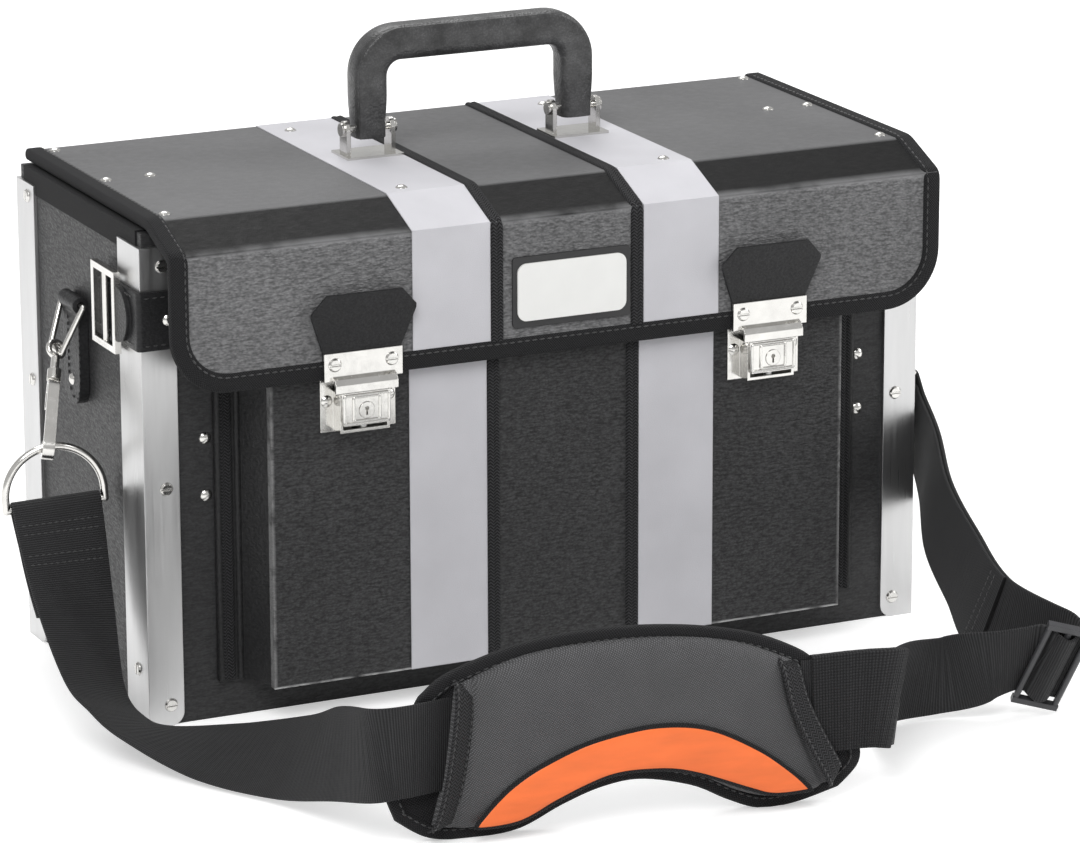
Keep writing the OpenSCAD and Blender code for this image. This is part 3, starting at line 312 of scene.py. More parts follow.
def stripe_tape(base):
    """Reflective tape: a fine bead texture and a slow unevenness."""
    m = Finish("grey_stripe", base, 0.5, Specular_IOR_Level=0.35)
    m.relief(m.plus(m.cells(2600), m.noise(60)), 0.00006, edge=0.0008)
    m.tint(m.span(m.noise(25, 4.0), 0.3, 0.7), 0.94, 1.05)
    return m


def braid(base):
    """Braided strip: rows of strands, 1.9 mm wide, that slant to and fro."""
    m = Finish("binding_braid", base, 0.8, Sheen_Weight=0.04, Specular_IOR_Level=0.25)
    where = m.place(uv=True)
    u, v, _ = m.axes(where)
    phase = m.plus(u, m.times(m.calc("PINGPONG", v, 1.9), 0.9))
    strand = m.calc("SINE", m.times(phase, 2 * math.pi / 1.7))
    height = m.plus(strand, m.times(m.noise(1.2, 3.0, 0.6, where), 0.6))
    m.relief(height, 0.00035)
    # Painted highlight on the strands' crests, painted shade in the hollows between them.
    m.tint(m.span(height, -0.6, 1.3), 0.3, 3.2)
    return m


def brushed_aluminium(base):
    """Extruded angle: long vertical draw lines and soft stains."""
    m = Finish("angle_aluminium", base, 0.36, 1.0)
    lines = m.noise(1.0, 4.0, 0.6, m.place((1900, 1900, 14)))
    stain = m.noise(1.0, 3.0, 0.5, m.place((60, 60, 9)))
    m.relief(lines, 0.00004, 0.6, 0.0006)
    m.roughness(m.plus(m.span(lines, 0.3, 0.7, 0.26, 0.4), m.span(stain, 0.4, 0.7, 0, 0.1)))
    m.tint(m.span(stain, 0.35, 0.7), 0.9, 1.06)
    return m


def bright_plate(name, base, rough=0.16, ripple=0.00004):
    """Bright plating on pressed steel: rounded edges, a light ripple and faint smudges."""
    m = Finish(name, base, rough, 1.0)
    m.relief(m.noise(130, 2.0), ripple, edge=0.0005)
    m.roughness(m.span(m.noise(240, 3.0, 0.6), 0.4, 0.75, rough, rough + 0.12))
    m.tint(m.span(m.noise(90, 2.0), 0.3, 0.7), 0.93, 1.05)
    return m


def moulded(name, base):
    """Moulded plastic with a fine spark-eroded grain and slow patches of wear."""
    m = Finish(name, base, 0.4, Specular_IOR_Level=0.5)
    m.relief(m.cells(1100, 0.7), 0.00006, edge=0.0006)
    rub = m.noise(35)
    m.roughness(m.span(rub, 0.35, 0.7, 0.32, 0.5))
    m.tint(m.span(rub, 0.3, 0.7), 0.85, 1.2)
    return m


def hide_grip(base):
    """Moulded grip with a hide-like grain: fine cells over slow cloudy wear, glossy where
    it is rubbed."""
    m = Finish("handle_plastic", base, 0.3, Specular_IOR_Level=0.6)
    cells = m.cells(900, 0.4)
    wear = m.noise(70, 5.0, 0.65)
    m.relief(m.plus(cells, m.times(wear, 1.5)), 0.00016, edge=0.0006)
    lit = m.times(m.span(wear, 0.3, 0.7, 0.3, 1.7), m.span(cells, 0.6, 0.0, 0.7, 1.3))
    m.tint(m.times(lit, 0.4), 0.0, 2.5)
    m.roughness(m.span(wear, 0.3, 0.7, 0.42, 0.24))
    return m


def pad_cloth(base):
    """Heavy woven cloth of the pad: a diagonal basket of small raised yarns."""
    m = Finish("pad_mesh", base, 0.75, Sheen_Weight=0.1, Specular_IOR_Level=0.3)
    where = m.place(uv=True, turn=0.6)
    yarns = m.times(m.ribs(0.95, "X", where, 0.2), m.ribs(0.95, "Y", where, 0.2))
    height = m.plus(yarns, m.times(m.noise(1.1, 3.0, 0.6, where), 0.4))
    m.relief(height, 0.0003)
    cloud = m.span(m.noise(0.05, 3.0, 0.5, where), 0.3, 0.7, 0.8, 1.0)
    m.tint(m.times(m.span(height, 0.1, 0.95), cloud), 0.4, 2.1)
    return m


def coated_cloth(base):
    """Bright coated cloth: smooth, with slight creases and a soft satin shine."""
    m = Finish("pad_orange", base, 0.48, Sheen_Weight=0.1)
    crease = m.noise(1.0, 3.0, 0.5, m.place((26, 60, 110)))
    m.relief(m.plus(crease, m.times(m.noise(1400, 2.0), 0.08)), 0.0006)
    m.tint(m.span(crease, 0.3, 0.7), 0.9, 1.08)
    return m


def badge_enamel(base):
    """Plain off-white enamel, slightly clouded, under a clear coat."""
    m = Finish("badge_enamel", base, 0.22, Coat_Weight=0.5, Coat_Roughness=0.1)
    m.relief(m.noise(500, 2.0), 0.00001, edge=0.0004)
    m.tint(m.span(m.noise(60), 0.3, 0.7), 0.96, 1.0)
    return m


def board_core(base):
    """Bare hardboard: short fibres and a matt, uneven surface."""
    m = Finish("base_fibreboard", base, 0.8)
    fibre = m.noise(1.0, 4.0, 0.65, m.place((160, 900, 900)))
    m.relief(fibre, 0.00012)
    m.tint(m.span(fibre, 0.3, 0.7), 0.7, 1.3)
    return m


def thread(base):
    """Sewing thread, its fibres lighter and darker."""
    m = Finish("black_thread", base, 0.6, Sheen_Weight=0.4)
    m.relief(m.noise(1800, 2.0), 0.0001)
    m.tint(m.noise(700, 2.0), 0.7, 1.4)
    return m


# The finishes by name, each made from the colour settings.
RECIPES = {
    "walls": lambda c: leatherette("wall_leatherette", tuple(c.walls)),
    "pocket": lambda c: pocket_leather(tuple(c.walls)),
    "gusset": lambda c: leatherette("gusset_leather", shade(c.walls, 0.6), (500, 500, 500)),
    "lid": lambda c: lid_covering(tuple(c.lid)),
    "core": lambda c: board_core((0.03, 0.03, 0.031)),
    "tape": lambda c: woven("binding_tape", (0.010, 0.010, 0.011), 0.9, uv=False),
    "edging": lambda c: woven("binding_edge", (0.011, 0.011, 0.012), slant=0.7),
    "braid": lambda c: braid((0.013, 0.013, 0.014)),
    "stripe": lambda c: stripe_tape(tuple(c.stripe)),
    "aluminium": lambda c: brushed_aluminium((0.62, 0.62, 0.62)),
    "nickel": lambda c: bright_plate("bright_nickel", (0.68, 0.67, 0.645)),
    "zinc": lambda c: bright_plate("zinc_steel", (0.5, 0.5, 0.49), 0.34, 0.00006),
    "grip": lambda c: hide_grip((0.05, 0.05, 0.051)),
    "slide": lambda c: moulded("adjuster_plastic", (0.05, 0.05, 0.054)),
    "badge": lambda c: badge_enamel((0.82, 0.82, 0.80)),
    "badge_back": lambda c: moulded("badge_backing", (0.015, 0.015, 0.016)),
    "strap_leather": lambda c: leatherette("strap_leather", (0.018, 0.018, 0.019),
                                           (600, 600, 900), 0.0002, 0.36, 0.3),
    "webbing": lambda c: ribbed_webbing(tuple(c.webbing)),
    "elastic": lambda c: woven("strap_elastic", (0.015, 0.015, 0.016), 1.5, 0.0004),
    "pad": lambda c: pad_cloth((0.080, 0.080, 0.083)),
    "pad_edge": lambda c: woven("pad_edging", (0.012, 0.012, 0.013), 1.1, slant=0.6),
    "insert": lambda c: coated_cloth(tuple(c.insert)),
    "thread": lambda c: thread((0.024, 0.024, 0.025)),
}

# The built pieces by finish; a star stands for the left and the right one.
NODE_FINISH = {
    "walls": "front_panel back_panel left_panel right_panel",
    "pocket": "pocket_board pocket_floor",
    "gusset": "pocket_gussets",
    "lid": "lid_board",
    "core": "base_board tool_board",
    "tape": "rim_bindings lid_binding pocket_strips lid_strips",
    "stripe": "pocket_stripes lid_stripes",
    "aluminium": "front_angles rear_angles",
    "nickel": "case_screws case_rivets lid_rivets hasp_* hasp_screws lock_base_* lock_button_* "
              "handle_pins handle_brackets band_buckles wire_loops snap_hook_* key_cylinder_* "
              "hook_gate_* d_ring_*",
    "zinc": "hinge_leaf_back hinge_leaf_lid hinge_pin tool_rails lock_spring_*",
    "grip": "handle_grip",
    "badge": "label_plate",
    "strap_leather": "corner_bands hanger_tabs pull_tabs",
    "webbing": "webbing_*",
    "pad": "pad_cushion",
    "pad_edge": "pad_backing",
    "insert": "pad_insert",
    "slide": "strap_adjuster",
}
PALETTE = {}


def finish(name):
    """The material of that name, made the first time that it is asked for."""
    if name not in PALETTE:
        PALETTE[name] = RECIPES[name](bpy.context.scene.case_colours).material
    return PALETTE[name]


class CASE_OT_finishes(bpy.types.Operator):
    """Finish of every piece that keeps its built shape. The badge's faces within 1.1 mm of
    the flap are its black backing."""
    bl_idname = "case.finishes"
    bl_label = "Finishes"

    def execute(self, context):
        for name, nodes in NODE_FINISH.items():
            for node in nodes.split():
                for obj in {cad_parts[node.replace("*", side)] for _, side in SIDES}:
                    if not obj.material_slots:
                        obj.data.materials.append(None)
                    for place in obj.material_slots:
                        place.material = finish(name)
        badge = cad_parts["label_plate"].data
        badge.materials.append(finish("badge_back"))
        centres = np.empty(len(badge.polygons) * 3)
        badge.polygons.foreach_get("center", centres)
        behind = centres.reshape(-1, 3)[:, 1] > FLAP_Y - 1.1 * MM
        badge.polygons.foreach_set("material_index", behind.astype(np.int32))
        return {"FINISHED"}


# ---- surfaces


def unit(v):
    """Each row divided by its length."""
    return v / np.maximum(np.linalg.norm(v, axis=-1, keepdims=True), 1e-12)


def travelled(path):
    """Distance along a line of points, in millimetres."""
    steps = np.linalg.norm(np.diff(path, axis=0), axis=1)
    return np.concatenate([[0.0], np.cumsum(steps)]) / MM


def at_places(t, s, rows):
    """The rows, known at the distances s, read off at the distances t."""
    return np.stack([np.interp(t, s, column) for column in rows.T], 1)


def evenly(path, step, *others):
    """The line resampled at even steps, with other rows carried along in proportion."""
    s = travelled(path) * MM
    t = np.linspace(0, s[-1], max(2, int(round(s[-1] / step)) + 1))
    return [at_places(t, s, rows) for rows in (path, *others)]


def even_ring(ring, step):
    """The closed line resampled at even steps."""
    return evenly(np.concatenate([ring, ring[:1]]), step)[0][:-1]


def round_steps(ring):
    """Direction at each place of a closed line, from the neighbour before to the one after."""
    return unit(np.roll(ring, -1, 0) - np.roll(ring, 1, 0))


def smooth_line(rows, steps):
    """Smooth line through the rows: each cubic piece starts and ends on a row, and its slope
    there is half the step between the two neighbouring rows."""
    rows = np.asarray(rows, float)
    padded_rows = np.concatenate([rows[:1], rows, rows[-1:]])
    a, b, c, d = (padded_rows[k:len(rows) - 1 + k, None] for k in range(4))
    t = (np.arange(steps) / steps)[None, :, None]
    line = 0.5 * (2 * b + (c - a) * t + (2 * a - 5 * b + 4 * c - d) * t ** 2
                  + (3 * b - a - 3 * c + d) * t ** 3)
    return np.concatenate([line.reshape(-1, rows.shape[1]), rows[-1:]])


def rounded_bar(width, height, r, per_corner=5):
    """Profile of a rectangle with round corners, as a closed line of points."""
    turn = np.linspace(0, math.pi / 2, per_corner)
    x, y = width / 2 - r, height / 2 - r
    return np.concatenate([
        np.stack([a * x + r * np.cos(turn + k * math.pi / 2),
                  b * y + r * np.sin(turn + k * math.pi / 2)], 1)
        for k, (a, b) in enumerate(((1, 1), (-1, 1), (-1, -1), (1, -1)))])


def folded_tape(reach, rise, bulge, thick, gap, n):
    """U profile of a tape folded over an edge, one for each thickness of the edge: its outer
    line runs in over the face by reach and rise, turns round the edge in n points of a half
    circle, squeezed to thick + 2 bulge, and comes back behind; its inner line hugs the edge."""
    reach, rise, thick = np.array(reach), np.array(rise), np.asarray(thick)[:, None]
    turn = np.linspace(math.pi / 2, 3 * math.pi / 2, n)
    across = np.concatenate([reach, 0.6 * MM + 1.6 * MM * np.cos(turn), reach[::-1],
                             [reach[0], gap, gap, reach[0]]])
    height = np.concatenate([
        np.tile(rise, (len(thick), 1)),
        (0.5 + 0.5 * np.sin(turn)) * (thick + 2 * bulge) - thick - bulge,
        -thick - rise[::-1], -thick, -thick, 0 * thick, 0 * thick], 1)
    return np.stack([np.broadcast_to(across, height.shape), height], -1)


def sheet_mesh(name, points, u, v, tube=False, ring=False):
    """A grid of points made a mesh: neighbours are joined in quads, a tube's last column is
    joined to its first, a ring's last row to its first, and a tube that is no ring gets a cap
    on each end. u and v give the UV map in millimetres."""
    n, m = points.shape[:2]
    i, j = (k.ravel() for k in np.meshgrid(np.arange(n - (not ring)), np.arange(m - (not tube)),
                                           indexing="ij"))
    i1, j1 = (i + 1) % n, (j + 1) % m
    faces = np.stack([i * m + j, i1 * m + j, i1 * m + j1, i * m + j1], 1).tolist()
    uv = np.stack([u[[i, i + 1, i + 1, i]].T, v[[j, j, j + 1, j + 1]].T], -1).reshape(-1, 2)
    if tube and not ring:
        for end in (0, n - 1):
            faces.append((end * m + np.arange(m)).tolist())
            uv = np.concatenate([uv, np.stack([np.zeros(m), v[:m]], 1)])
    mesh = bpy.data.meshes.new(name)
    mesh.from_pydata(points.reshape(-1, 3).tolist(), [], faces)
    mesh.uv_layers.new(name="UVMap").data.foreach_set("uv", uv.astype(np.float32).ravel())
    return mesh


def close_up(*meshes, merge=1e-7, bridge=False):
    """Joins the meshes in the first one, merges doubles, bridges the open borders if asked,
    and turns every face outwards."""
    work = bmesh.new()
    for mesh in meshes:
        work.from_mesh(mesh)
    bmesh.ops.remove_doubles(work, verts=work.verts, dist=merge)
    if bridge:
        bmesh.ops.bridge_loops(work, edges=[e for e in work.edges if e.is_boundary])
    bmesh.ops.recalc_face_normals(work, faces=work.faces)
    work.to_mesh(meshes[0])
    work.free()
    meshes[0].shade_smooth()
    return meshes[0]


def put_in_scene(name, data):
    obj = bpy.data.objects.new(name, data)
    bpy.context.scene.collection.objects.link(obj)
    return obj


def place_piece(name, mesh, body, look, replaces=(), crease=None):
    """Puts a finished mesh in the scene, at the origin, riding on its body."""
    obj = put_in_scene(name, mesh)
    mesh.materials.append(finish(look))
    if crease is not None:
        mesh.set_sharp_from_angle(angle=math.radians(crease))
    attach(obj, body)
    if replaces:
        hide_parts(*replaces)
    return obj


def swept(name, path, across, out, profile, body, look, replaces=(), crease=None,
          ring=False):
    """A piece whose closed profile, of (sideways, outwards) points, the same all along or one
    for each place, is carried along a line or round a ring. Nothing of it goes below the
    floor."""
    profile = np.broadcast_to(profile, (len(path), *np.shape(profile)[-2:]))
    across, out = (np.broadcast_to(v, path.shape)[:, None] for v in (across, out))
    points = path[:, None] + profile[:, :, :1] * across + profile[:, :, 1:] * out
    points[..., 2] = np.maximum(points[..., 2], 0.0)
    line = np.concatenate([path, path[:1]]) if ring else path
    girth = travelled(np.concatenate([profile[0], profile[0, :1]]))
    mesh = sheet_mesh(name, points, travelled(line), girth, True, ring)
    return place_piece(name, close_up(mesh), body, look, replaces, crease)


GRAIN_RINGS, GRAIN_SIDES = 5, 6


def seam(name, centres, along, out, slot, length=3.0 * MM, width=0.8 * MM, height=0.5 * MM,
         body="case"):
    """A row of stitches: each is a small grain, its radius following a half circle's
    height along its length, sunk by half into the cloth."""
    a = np.linspace(-1, 1, GRAIN_RINGS)[:, None]
    turn = np.linspace(0, 2 * math.pi, GRAIN_SIDES, endpoint=False)[None]
    full = np.sqrt(1 - (0.97 * a) ** 2)
    shape = np.stack([a * length / 2 + 0 * turn, full * np.cos(turn) * width / 2,
                      full * np.sin(turn) * height], -1).reshape(-1, 3)
    along, out = (unit(np.broadcast_to(v, centres.shape)) for v in (along, out))
    side = unit(np.cross(along, out))
    points = centres[:, None] + shape @ np.stack([along, side, out], 1)
    i, j = (k.ravel() for k in np.meshgrid(np.arange(GRAIN_RINGS - 1), np.arange(GRAIN_SIDES),
                                           indexing="ij"))
    j1 = (j + 1) % GRAIN_SIDES
    quad = GRAIN_SIDES * np.stack([i, i, i + 1, i + 1], 1) + np.stack([j, j1, j1, j], 1)
    grains = np.arange(len(centres))[:, None, None] * len(shape)
    mesh = bpy.data.meshes.new(name)
    mesh.from_pydata(points.reshape(-1, 3).tolist(), [], (quad + grains).reshape(-1, 4).tolist())
    mesh.uv_layers.new(name="UVMap")
    place_piece(name, close_up(mesh), body, "thread")


def along_line(path, out, pitch, lead):
    """Stitch places every pitch along a line, lead of them left out at each end, with the
    line's direction and its outward."""
    line, outs = evenly(path, pitch, out)
    keep = slice(lead, len(line) - lead)
    return line[keep], np.gradient(line, axis=0)[keep], outs[keep]


# ---- lid and pocket edges


def folded_line(end_z):
    """Side view of the lid's outer face from the back to end_z, each fold a quadratic curve
    between its two legs, and the outward direction at each place."""
    corners = np.array([[LID_BACK, LID_TOP], [CREASE_Y, LID_TOP], [FLAP_Y, FLAP_TOP],
                        [FLAP_Y, end_z]])
    legs = unit(np.diff(corners, axis=0))
    outs = np.stack([legs[:, 1], -legs[:, 0]], 1)
    t = np.linspace(0, 1, 7)[:, None]
    places, normals = [corners[:1]], [outs[:1]]
    for k in (1, 2):
        places.append(corners[k] + FOLD_BEND * (t ** 2 * legs[k] - (1 - t) ** 2 * legs[k - 1]))
        normals.append((1 - t) * outs[k - 1] + t * outs[k])
    places = np.concatenate([*places, corners[3:]])
    normals = unit(np.concatenate([*normals, outs[2:]]))
    return [np.pad(rows, ((0, 0), (1, 0))) for rows in (places, normals)]


def lid_border():
    """The lid's edge from the left back corner round the flap to the right back corner: place
    on the outer face, direction towards the lid's inside, outward direction."""
    side, outs = folded_line(FLAP_LOW + FLAP_ROUND)
    side[:, 0] = -LID_HALF
    turn = np.linspace(0, math.pi / 2, 14)[1:]
    into = np.stack([np.cos(turn), 0 * turn, np.sin(turn)], 1)
    centre = np.array([FLAP_ROUND - LID_HALF, FLAP_Y, FLAP_LOW + FLAP_ROUND])
    path = np.concatenate([side, centre - FLAP_ROUND * into, [[0, FLAP_Y, FLAP_LOW]]])
    inward = np.concatenate([np.tile(TO_RIGHT, (len(side), 1)), into, into[-1:]])
    outs = np.concatenate([outs, np.tile(TO_FRONT, (len(into) + 1, 1))])
    path, inward, outs = (np.concatenate([half, (half * [-1, 1, 1])[-2::-1]])
                          for half in evenly(path, 2 * MM, inward, outs))
    return path, unit(inward), unit(outs)


class CASE_OT_lid_binding(bpy.types.Operator):
    """Woven binding folded round the lid's open edge: a U profile, round over the edge, is
    carried along the border, with a row of stitches near its inner edge."""
    bl_idname = "case.lid_binding"
    bl_label = "Lid binding"

    def execute(self, context):
        w = sizes().binding_width
        path, inward, outs = lid_border()
        thick = np.where(path[:, 2] < FLAP_TOP, FLAP_THICK, LID_THICK)
        thick = np.convolve(np.pad(thick, 4, mode="edge"), np.ones(9) / 9, "valid")
        tape = folded_tape([w, w - 0.6 * MM, w - 1.8 * MM, w / 2],
                           [0, 0.8 * MM, 1.1 * MM, 1.15 * MM], 1.1 * MM, thick, 0.8 * MM, 9)
        swept("lid_edge_binding", path, inward, outs, tape, "lid", "edging",
              ["lid_binding"], 50)
        line = path + inward * (w - 2 * MM) + outs * 1.1 * MM
        seam("lid_binding_stitches", *along_line(line, outs, sizes().stitch_pitch, 2),
             "binding_tape", body="lid")
        return {"FINISHED"}


class CASE_OT_braids(bpy.types.Operator):
    """Braided strips beside the light stripes and down the pocket's outer edges: a low
    double-humped profile is carried over the lid's folds, and straight down the pocket."""
    bl_idname = "case.braids"
    bl_label = "Braided strips"

    def execute(self, context):
        t = np.linspace(-1, 1, 17)
        hump = 1.3 * (1 - t ** 8) - 0.35 * np.exp(-(t / 0.16) ** 2)
        profile = np.concatenate([np.stack([t * 3.6, hump], 1), [[3.6, -0.1], [-3.6, -0.1]]]) * MM
        low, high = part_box("pocket_gussets")
        board = [[0, BOARD_FRONT, z] for z in (BOARD_TOP, BOARD_LOW)]
        edge = [[0, high.y - 2 * MM, z] for z in (high.z - MM, low.z + MM)]
        front = np.tile(TO_FRONT, (2, 1))
        for side, name in SIDES:
            for piece, body, x, (line, outs), size, replaces in (
                    ("lid_strips_braid", "lid", BRAID_X, folded_line(FLAP_LOW + 8.5 * MM), 1,
                     ["lid_strips"]),
                    ("pocket_strips_braid", "case", BRAID_X, (board, front), 1,
                     ["pocket_strips"]),
                    ("gusset_braid", "case", high.x - 4.8 * MM, (edge, front), 1.25, ())):
                path, outs = evenly(np.array(line), 1.5 * MM, outs)
                path[:, 0] = side * x
                swept(f"{piece}_{name}", path, TO_RIGHT, unit(outs), size * profile, body,
                      "braid", replaces, 60)
        return {"FINISHED"}


# ---- handle


class CASE_OT_handle(bpy.types.Operator):
    """Moulded carry handle: a cushion-cornered square profile, its half axes each times a
    power of cosine and sine, with a raised rim along each outer edge, is carried up one leg,
    round two corners and along the grip."""
    bl_idname = "case.handle"
    bl_label = "Carry handle"

    def execute(self, context):
        low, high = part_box("handle_grip")
        half_y, mid_y = (high.y - low.y) / 2, (high.y + low.y) / 2
        bar, bend, skin, corner = 20 * MM, 17 * MM, 0.6 * MM, 0.55
        x, top, foot = high.x - bar / 2, high.z - bar / 2, low.z + 0.5 * MM
        turn = np.linspace(0, math.pi / 2, 13)[1:]
        leg = np.linspace(foot, top - bend, 26)
        span = np.linspace(bend - x, 0, 24)[1:]
        half = np.concatenate([
            np.stack([np.full(len(leg), -x), leg], 1),
            np.stack([bend - x - bend * np.cos(turn), top - bend + bend * np.sin(turn)], 1),
            np.stack([span, np.full(len(span), top)], 1)])
        path = np.insert(np.concatenate([half, (half * [-1, 1])[-2::-1]]), 1, mid_y, axis=1)
        out = unit(np.cross(unit(np.gradient(path, axis=0)), TO_BACK))
        turn = np.linspace(0, 2 * math.pi, 56, endpoint=False)
        c, s = np.cos(turn), np.sin(turn)
        wide = np.sign(c) * np.abs(c) ** corner * (half_y - skin)
        high = np.sign(s) * np.abs(s) ** corner * (bar / 2 - skin)
        out_y = np.abs(wide) / half_y
        rim = 0.9 * MM * np.exp(-((out_y - 0.86) / 0.07) ** 2) - 0.5 * MM * (out_y < 0.75)
        high = high + rim * (high > bar * 0.3)
        grip = np.clip((path[:, 2:] - top + 20 * MM) / (20 * MM), 0, 1)
        feet = np.clip((foot + 22 * MM - path[:, 2:]) / (14 * MM), 0, 1)
        full = 1 + 0.03 * grip - 0.09 * feet ** 1.5
        profile = np.stack([wide * np.minimum(full, 1.0), high * np.minimum(full, 1.02)], -1)
        swept("carry_handle", path, TO_BACK, out, profile, "handle", "grip",
              ["handle_grip"], 60)
        return {"FINISHED"}


# ---- shoulder strap

# In millimetres: the rings' wire, the gap between folds, and the slide's bars.
RING_WIRE, FOLD_CLEAR, BAR_T, BAR_PITCH, LOOP_BACK = 4.0, 0.5, 3.5, 10.5, 2.4
LEFT_TAIL, STEPS = 1.25, 12
LEFT_SEAMS, RIGHT_SEAMS = (80.25, 85.25, 96.25, 101.25), (8, 13)
SLEEVE_FROM, SLEEVE_TO = 5, 57

# Places chosen along each run, in millimetres: centre, then the direction across the strap.
LEFT_RUN = [
    (-248, -37, 109, 44, -8, 0), (-248.5, -58, 68, 46, 6, -7), (-249, -87, 29, 40, 20, -15),
    (-244, -106, 17, 39, 21, -17), (-235, -126, 12.5, 41, 22, -8), (-213, -168, 12.5, 38, 22, 17),
    (-194, -214, 21, 27, 16, 35), (-190, -258, 36, 12, 8, 44), (-187, -294, 46, 1, 1, 46),
    (-172, -303, 48.5, 0, 0, 46), (-148, -299.6, 48.5, 0, 0, 46)]
LOW_RUN = [
    (24, -329.4, 50.5, 0, 0, 46), (53, -334, 51, 0, 0, 46), (70, -333, 49, 2, -1, 46),
    (84, -318, 42, 5, -3, 45), (92, -292, 33, 8, -5, 45), (103, -268, 27, 8, -6, 45),
    (122, -254, 25.5, 6, -9, 45), (145, -254, 25.5, 4, -13, 44), (166.4, -265, 31, 3, -20, 43)]
HIGH_RUN = [
    (190, -228, 43, 11, -17, 43), (198, -183, 56, 6, -16, 45), (209, -138, 69, 3, -17, 45),
    (225, -99, 85, -3, -21, 43), (234, -69, 98, -8, -28, 38), (236.1, -53.4, 110.2, -7, -32, 33)]


def squared(v, along):
    """The direction v less its part along the other direction."""
    return unit(v - np.sum(v * along, -1, keepdims=True) * along)


# The slide: its middle, and its directions across the strap, along it and out of it.
SLIDE_AT, SLIDE_WIDE = np.array([[196.0, -277.0, 30.0], [3.0, -25.0, 41.0]])
SLIDE_ACROSS = unit(SLIDE_WIDE)
SLIDE_ALONG = squared(np.array([0.91, -0.41, -0.06]), SLIDE_ACROSS)
SLIDE_OUT = np.cross(SLIDE_ALONG, SLIDE_ACROSS)


def slide_weave():
    """The strap's places through the slide: behind its first bar, over the middle one and
    back through the second slot."""
    lift = (BAR_T + sizes().webbing_thickness / MM) / 2 + 2 * FOLD_CLEAR
    steps = ((-BAR_PITCH, -lift), (-BAR_PITCH / 2, 0), (0, lift), (BAR_PITCH / 2, -1),
             (BAR_PITCH / 2 + 1, -14))
    return [(*(SLIDE_AT + a * SLIDE_ALONG + b * SLIDE_OUT), *SLIDE_WIDE) for a, b in steps]


def strap_frames(rows):
    """Places of a run of [centre, across] rows, its direction there, the across direction
    squared to it and the strap's outward direction."""
    along = unit(np.gradient(rows[:, :3], axis=0))
    across = squared(rows[:, 3:], along)
    return rows[:, :3], along, across, np.cross(along, across)


def folded_strap(rows, tail):
    """Centres and across directions of the run with its end turned round the ring's bar and
    led back behind itself for tail pieces of the run."""
    thick = sizes().webbing_thickness / MM
    fold = (RING_WIRE + thick) / 2 + FOLD_CLEAR
    path, along, across, out = strap_frames(rows)
    behind = slice(int(tail * STEPS), STEPS // 2 - 1, -1)
    back = path[behind] - (thick + FOLD_CLEAR) * out[behind]
    turn = np.radians(np.arange(0, 180, 12))[:, None]
    bend = path[0] - fold * ((1 + np.cos(turn)) * out[0] + np.sin(turn) * along[0])
    return (np.concatenate([back, bend, path]),
            np.concatenate([across[behind], np.tile(across[0], (len(bend), 1)), across]))


def strap_piece(name, centre, across, replaces=(), look="webbing", extra=0.0,
                ripple=lambda s: np.ones(len(s))):
    """A flat strap: a round-edged bar, extra wider than the webbing, is carried along a line
    in millimetres, its thickness times ripple of the distance travelled."""
    thick = sizes().webbing_thickness
    path, _, across, out = strap_frames(np.hstack(evenly(centre * MM, 1.6 * MM, across)))
    swell = ripple(travelled(path))
    profile = rounded_bar(sizes().webbing_width + extra, thick, thick * 0.42, 4)
    profile = profile * np.stack([0 * swell + 1, swell], 1)[:, None]
    swept(name, path, across, out, profile, "case", look, replaces, 60)
    return path, across, out


def cross_seams(name, strap, places):
    """Seams sewn through the strap, on both faces, at the given distances along it, in
    millimetres."""
    path, across, out = strap
    half, thick = sizes().webbing_width / 2, sizes().webbing_thickness
    s = travelled(path)
    rows, t, face = (a.ravel() for a in np.meshgrid(
        [np.argmin(np.abs(s - at)) for at in places],
        np.arange(4 * MM - half, half - 3 * MM, 3.4 * MM), (-1, 1), indexing="ij"))
    outs = face[:, None] * out[rows]
    seam(name, path[rows] + t[:, None] * across[rows] + outs * thick / 2, across[rows], outs,
         "strap_webbing", 2.4 * MM)


class CASE_OT_straps(bpy.types.Operator):
    """Shoulder webbing: each run is a smooth line through chosen places, folded back round
    its ring, with a flat woven band carried along it and seams sewn across; a short loop
    stands in the slide."""
    bl_idname = "case.straps"
    bl_label = "Shoulder webbing"

    def execute(self, context):
        left = smooth_line(LEFT_RUN, STEPS)
        strap = strap_piece("strap_left", *folded_strap(left, LEFT_TAIL), ["webbing_left"])
        cross_seams("strap_left_seams", strap, LEFT_SEAMS)
        right = smooth_line(LOW_RUN + slide_weave() + HIGH_RUN, STEPS)[::-1]
        right = folded_strap(right * [1, 1, 1, -1, -1, -1], len(HIGH_RUN) - 1)
        strap = strap_piece("strap_right", *right, ["webbing_right"])
        t = np.linspace(-BAR_PITCH, BAR_PITCH, 14)[:, None]
        strap_piece("strap_slide_loop", SLIDE_AT + t * SLIDE_ALONG - LOOP_BACK * SLIDE_OUT,
                    SLIDE_ACROSS + 0 * t)
        cross_seams("strap_right_seams", strap, RIGHT_SEAMS)
        return {"FINISHED"}


class CASE_OT_sleeve(bpy.types.Operator):
    """Elastic keeper sleeve over the strap beside the pad: a flat tube carried along the
    strap's first centimetres, gathered in soft waves along its length."""
    bl_idname = "case.sleeve"
    bl_label = "Elastic sleeve"

    def execute(self, context):
        rows = smooth_line(LOW_RUN, STEPS)
        s = travelled(rows[:, :3] * MM)
        rows = rows[(s > SLEEVE_FROM) & (s < SLEEVE_TO)]
        strap_piece("strap_sleeve", rows[:, :3], rows[:, 3:], (), "elastic", 4 * MM,
                    lambda s: 2.35 + 0.16 * np.sin(1.15 * s) + 0.12 * np.sin(0.43 * s + 1))
        return {"FINISHED"}


# ---- shoulder pad

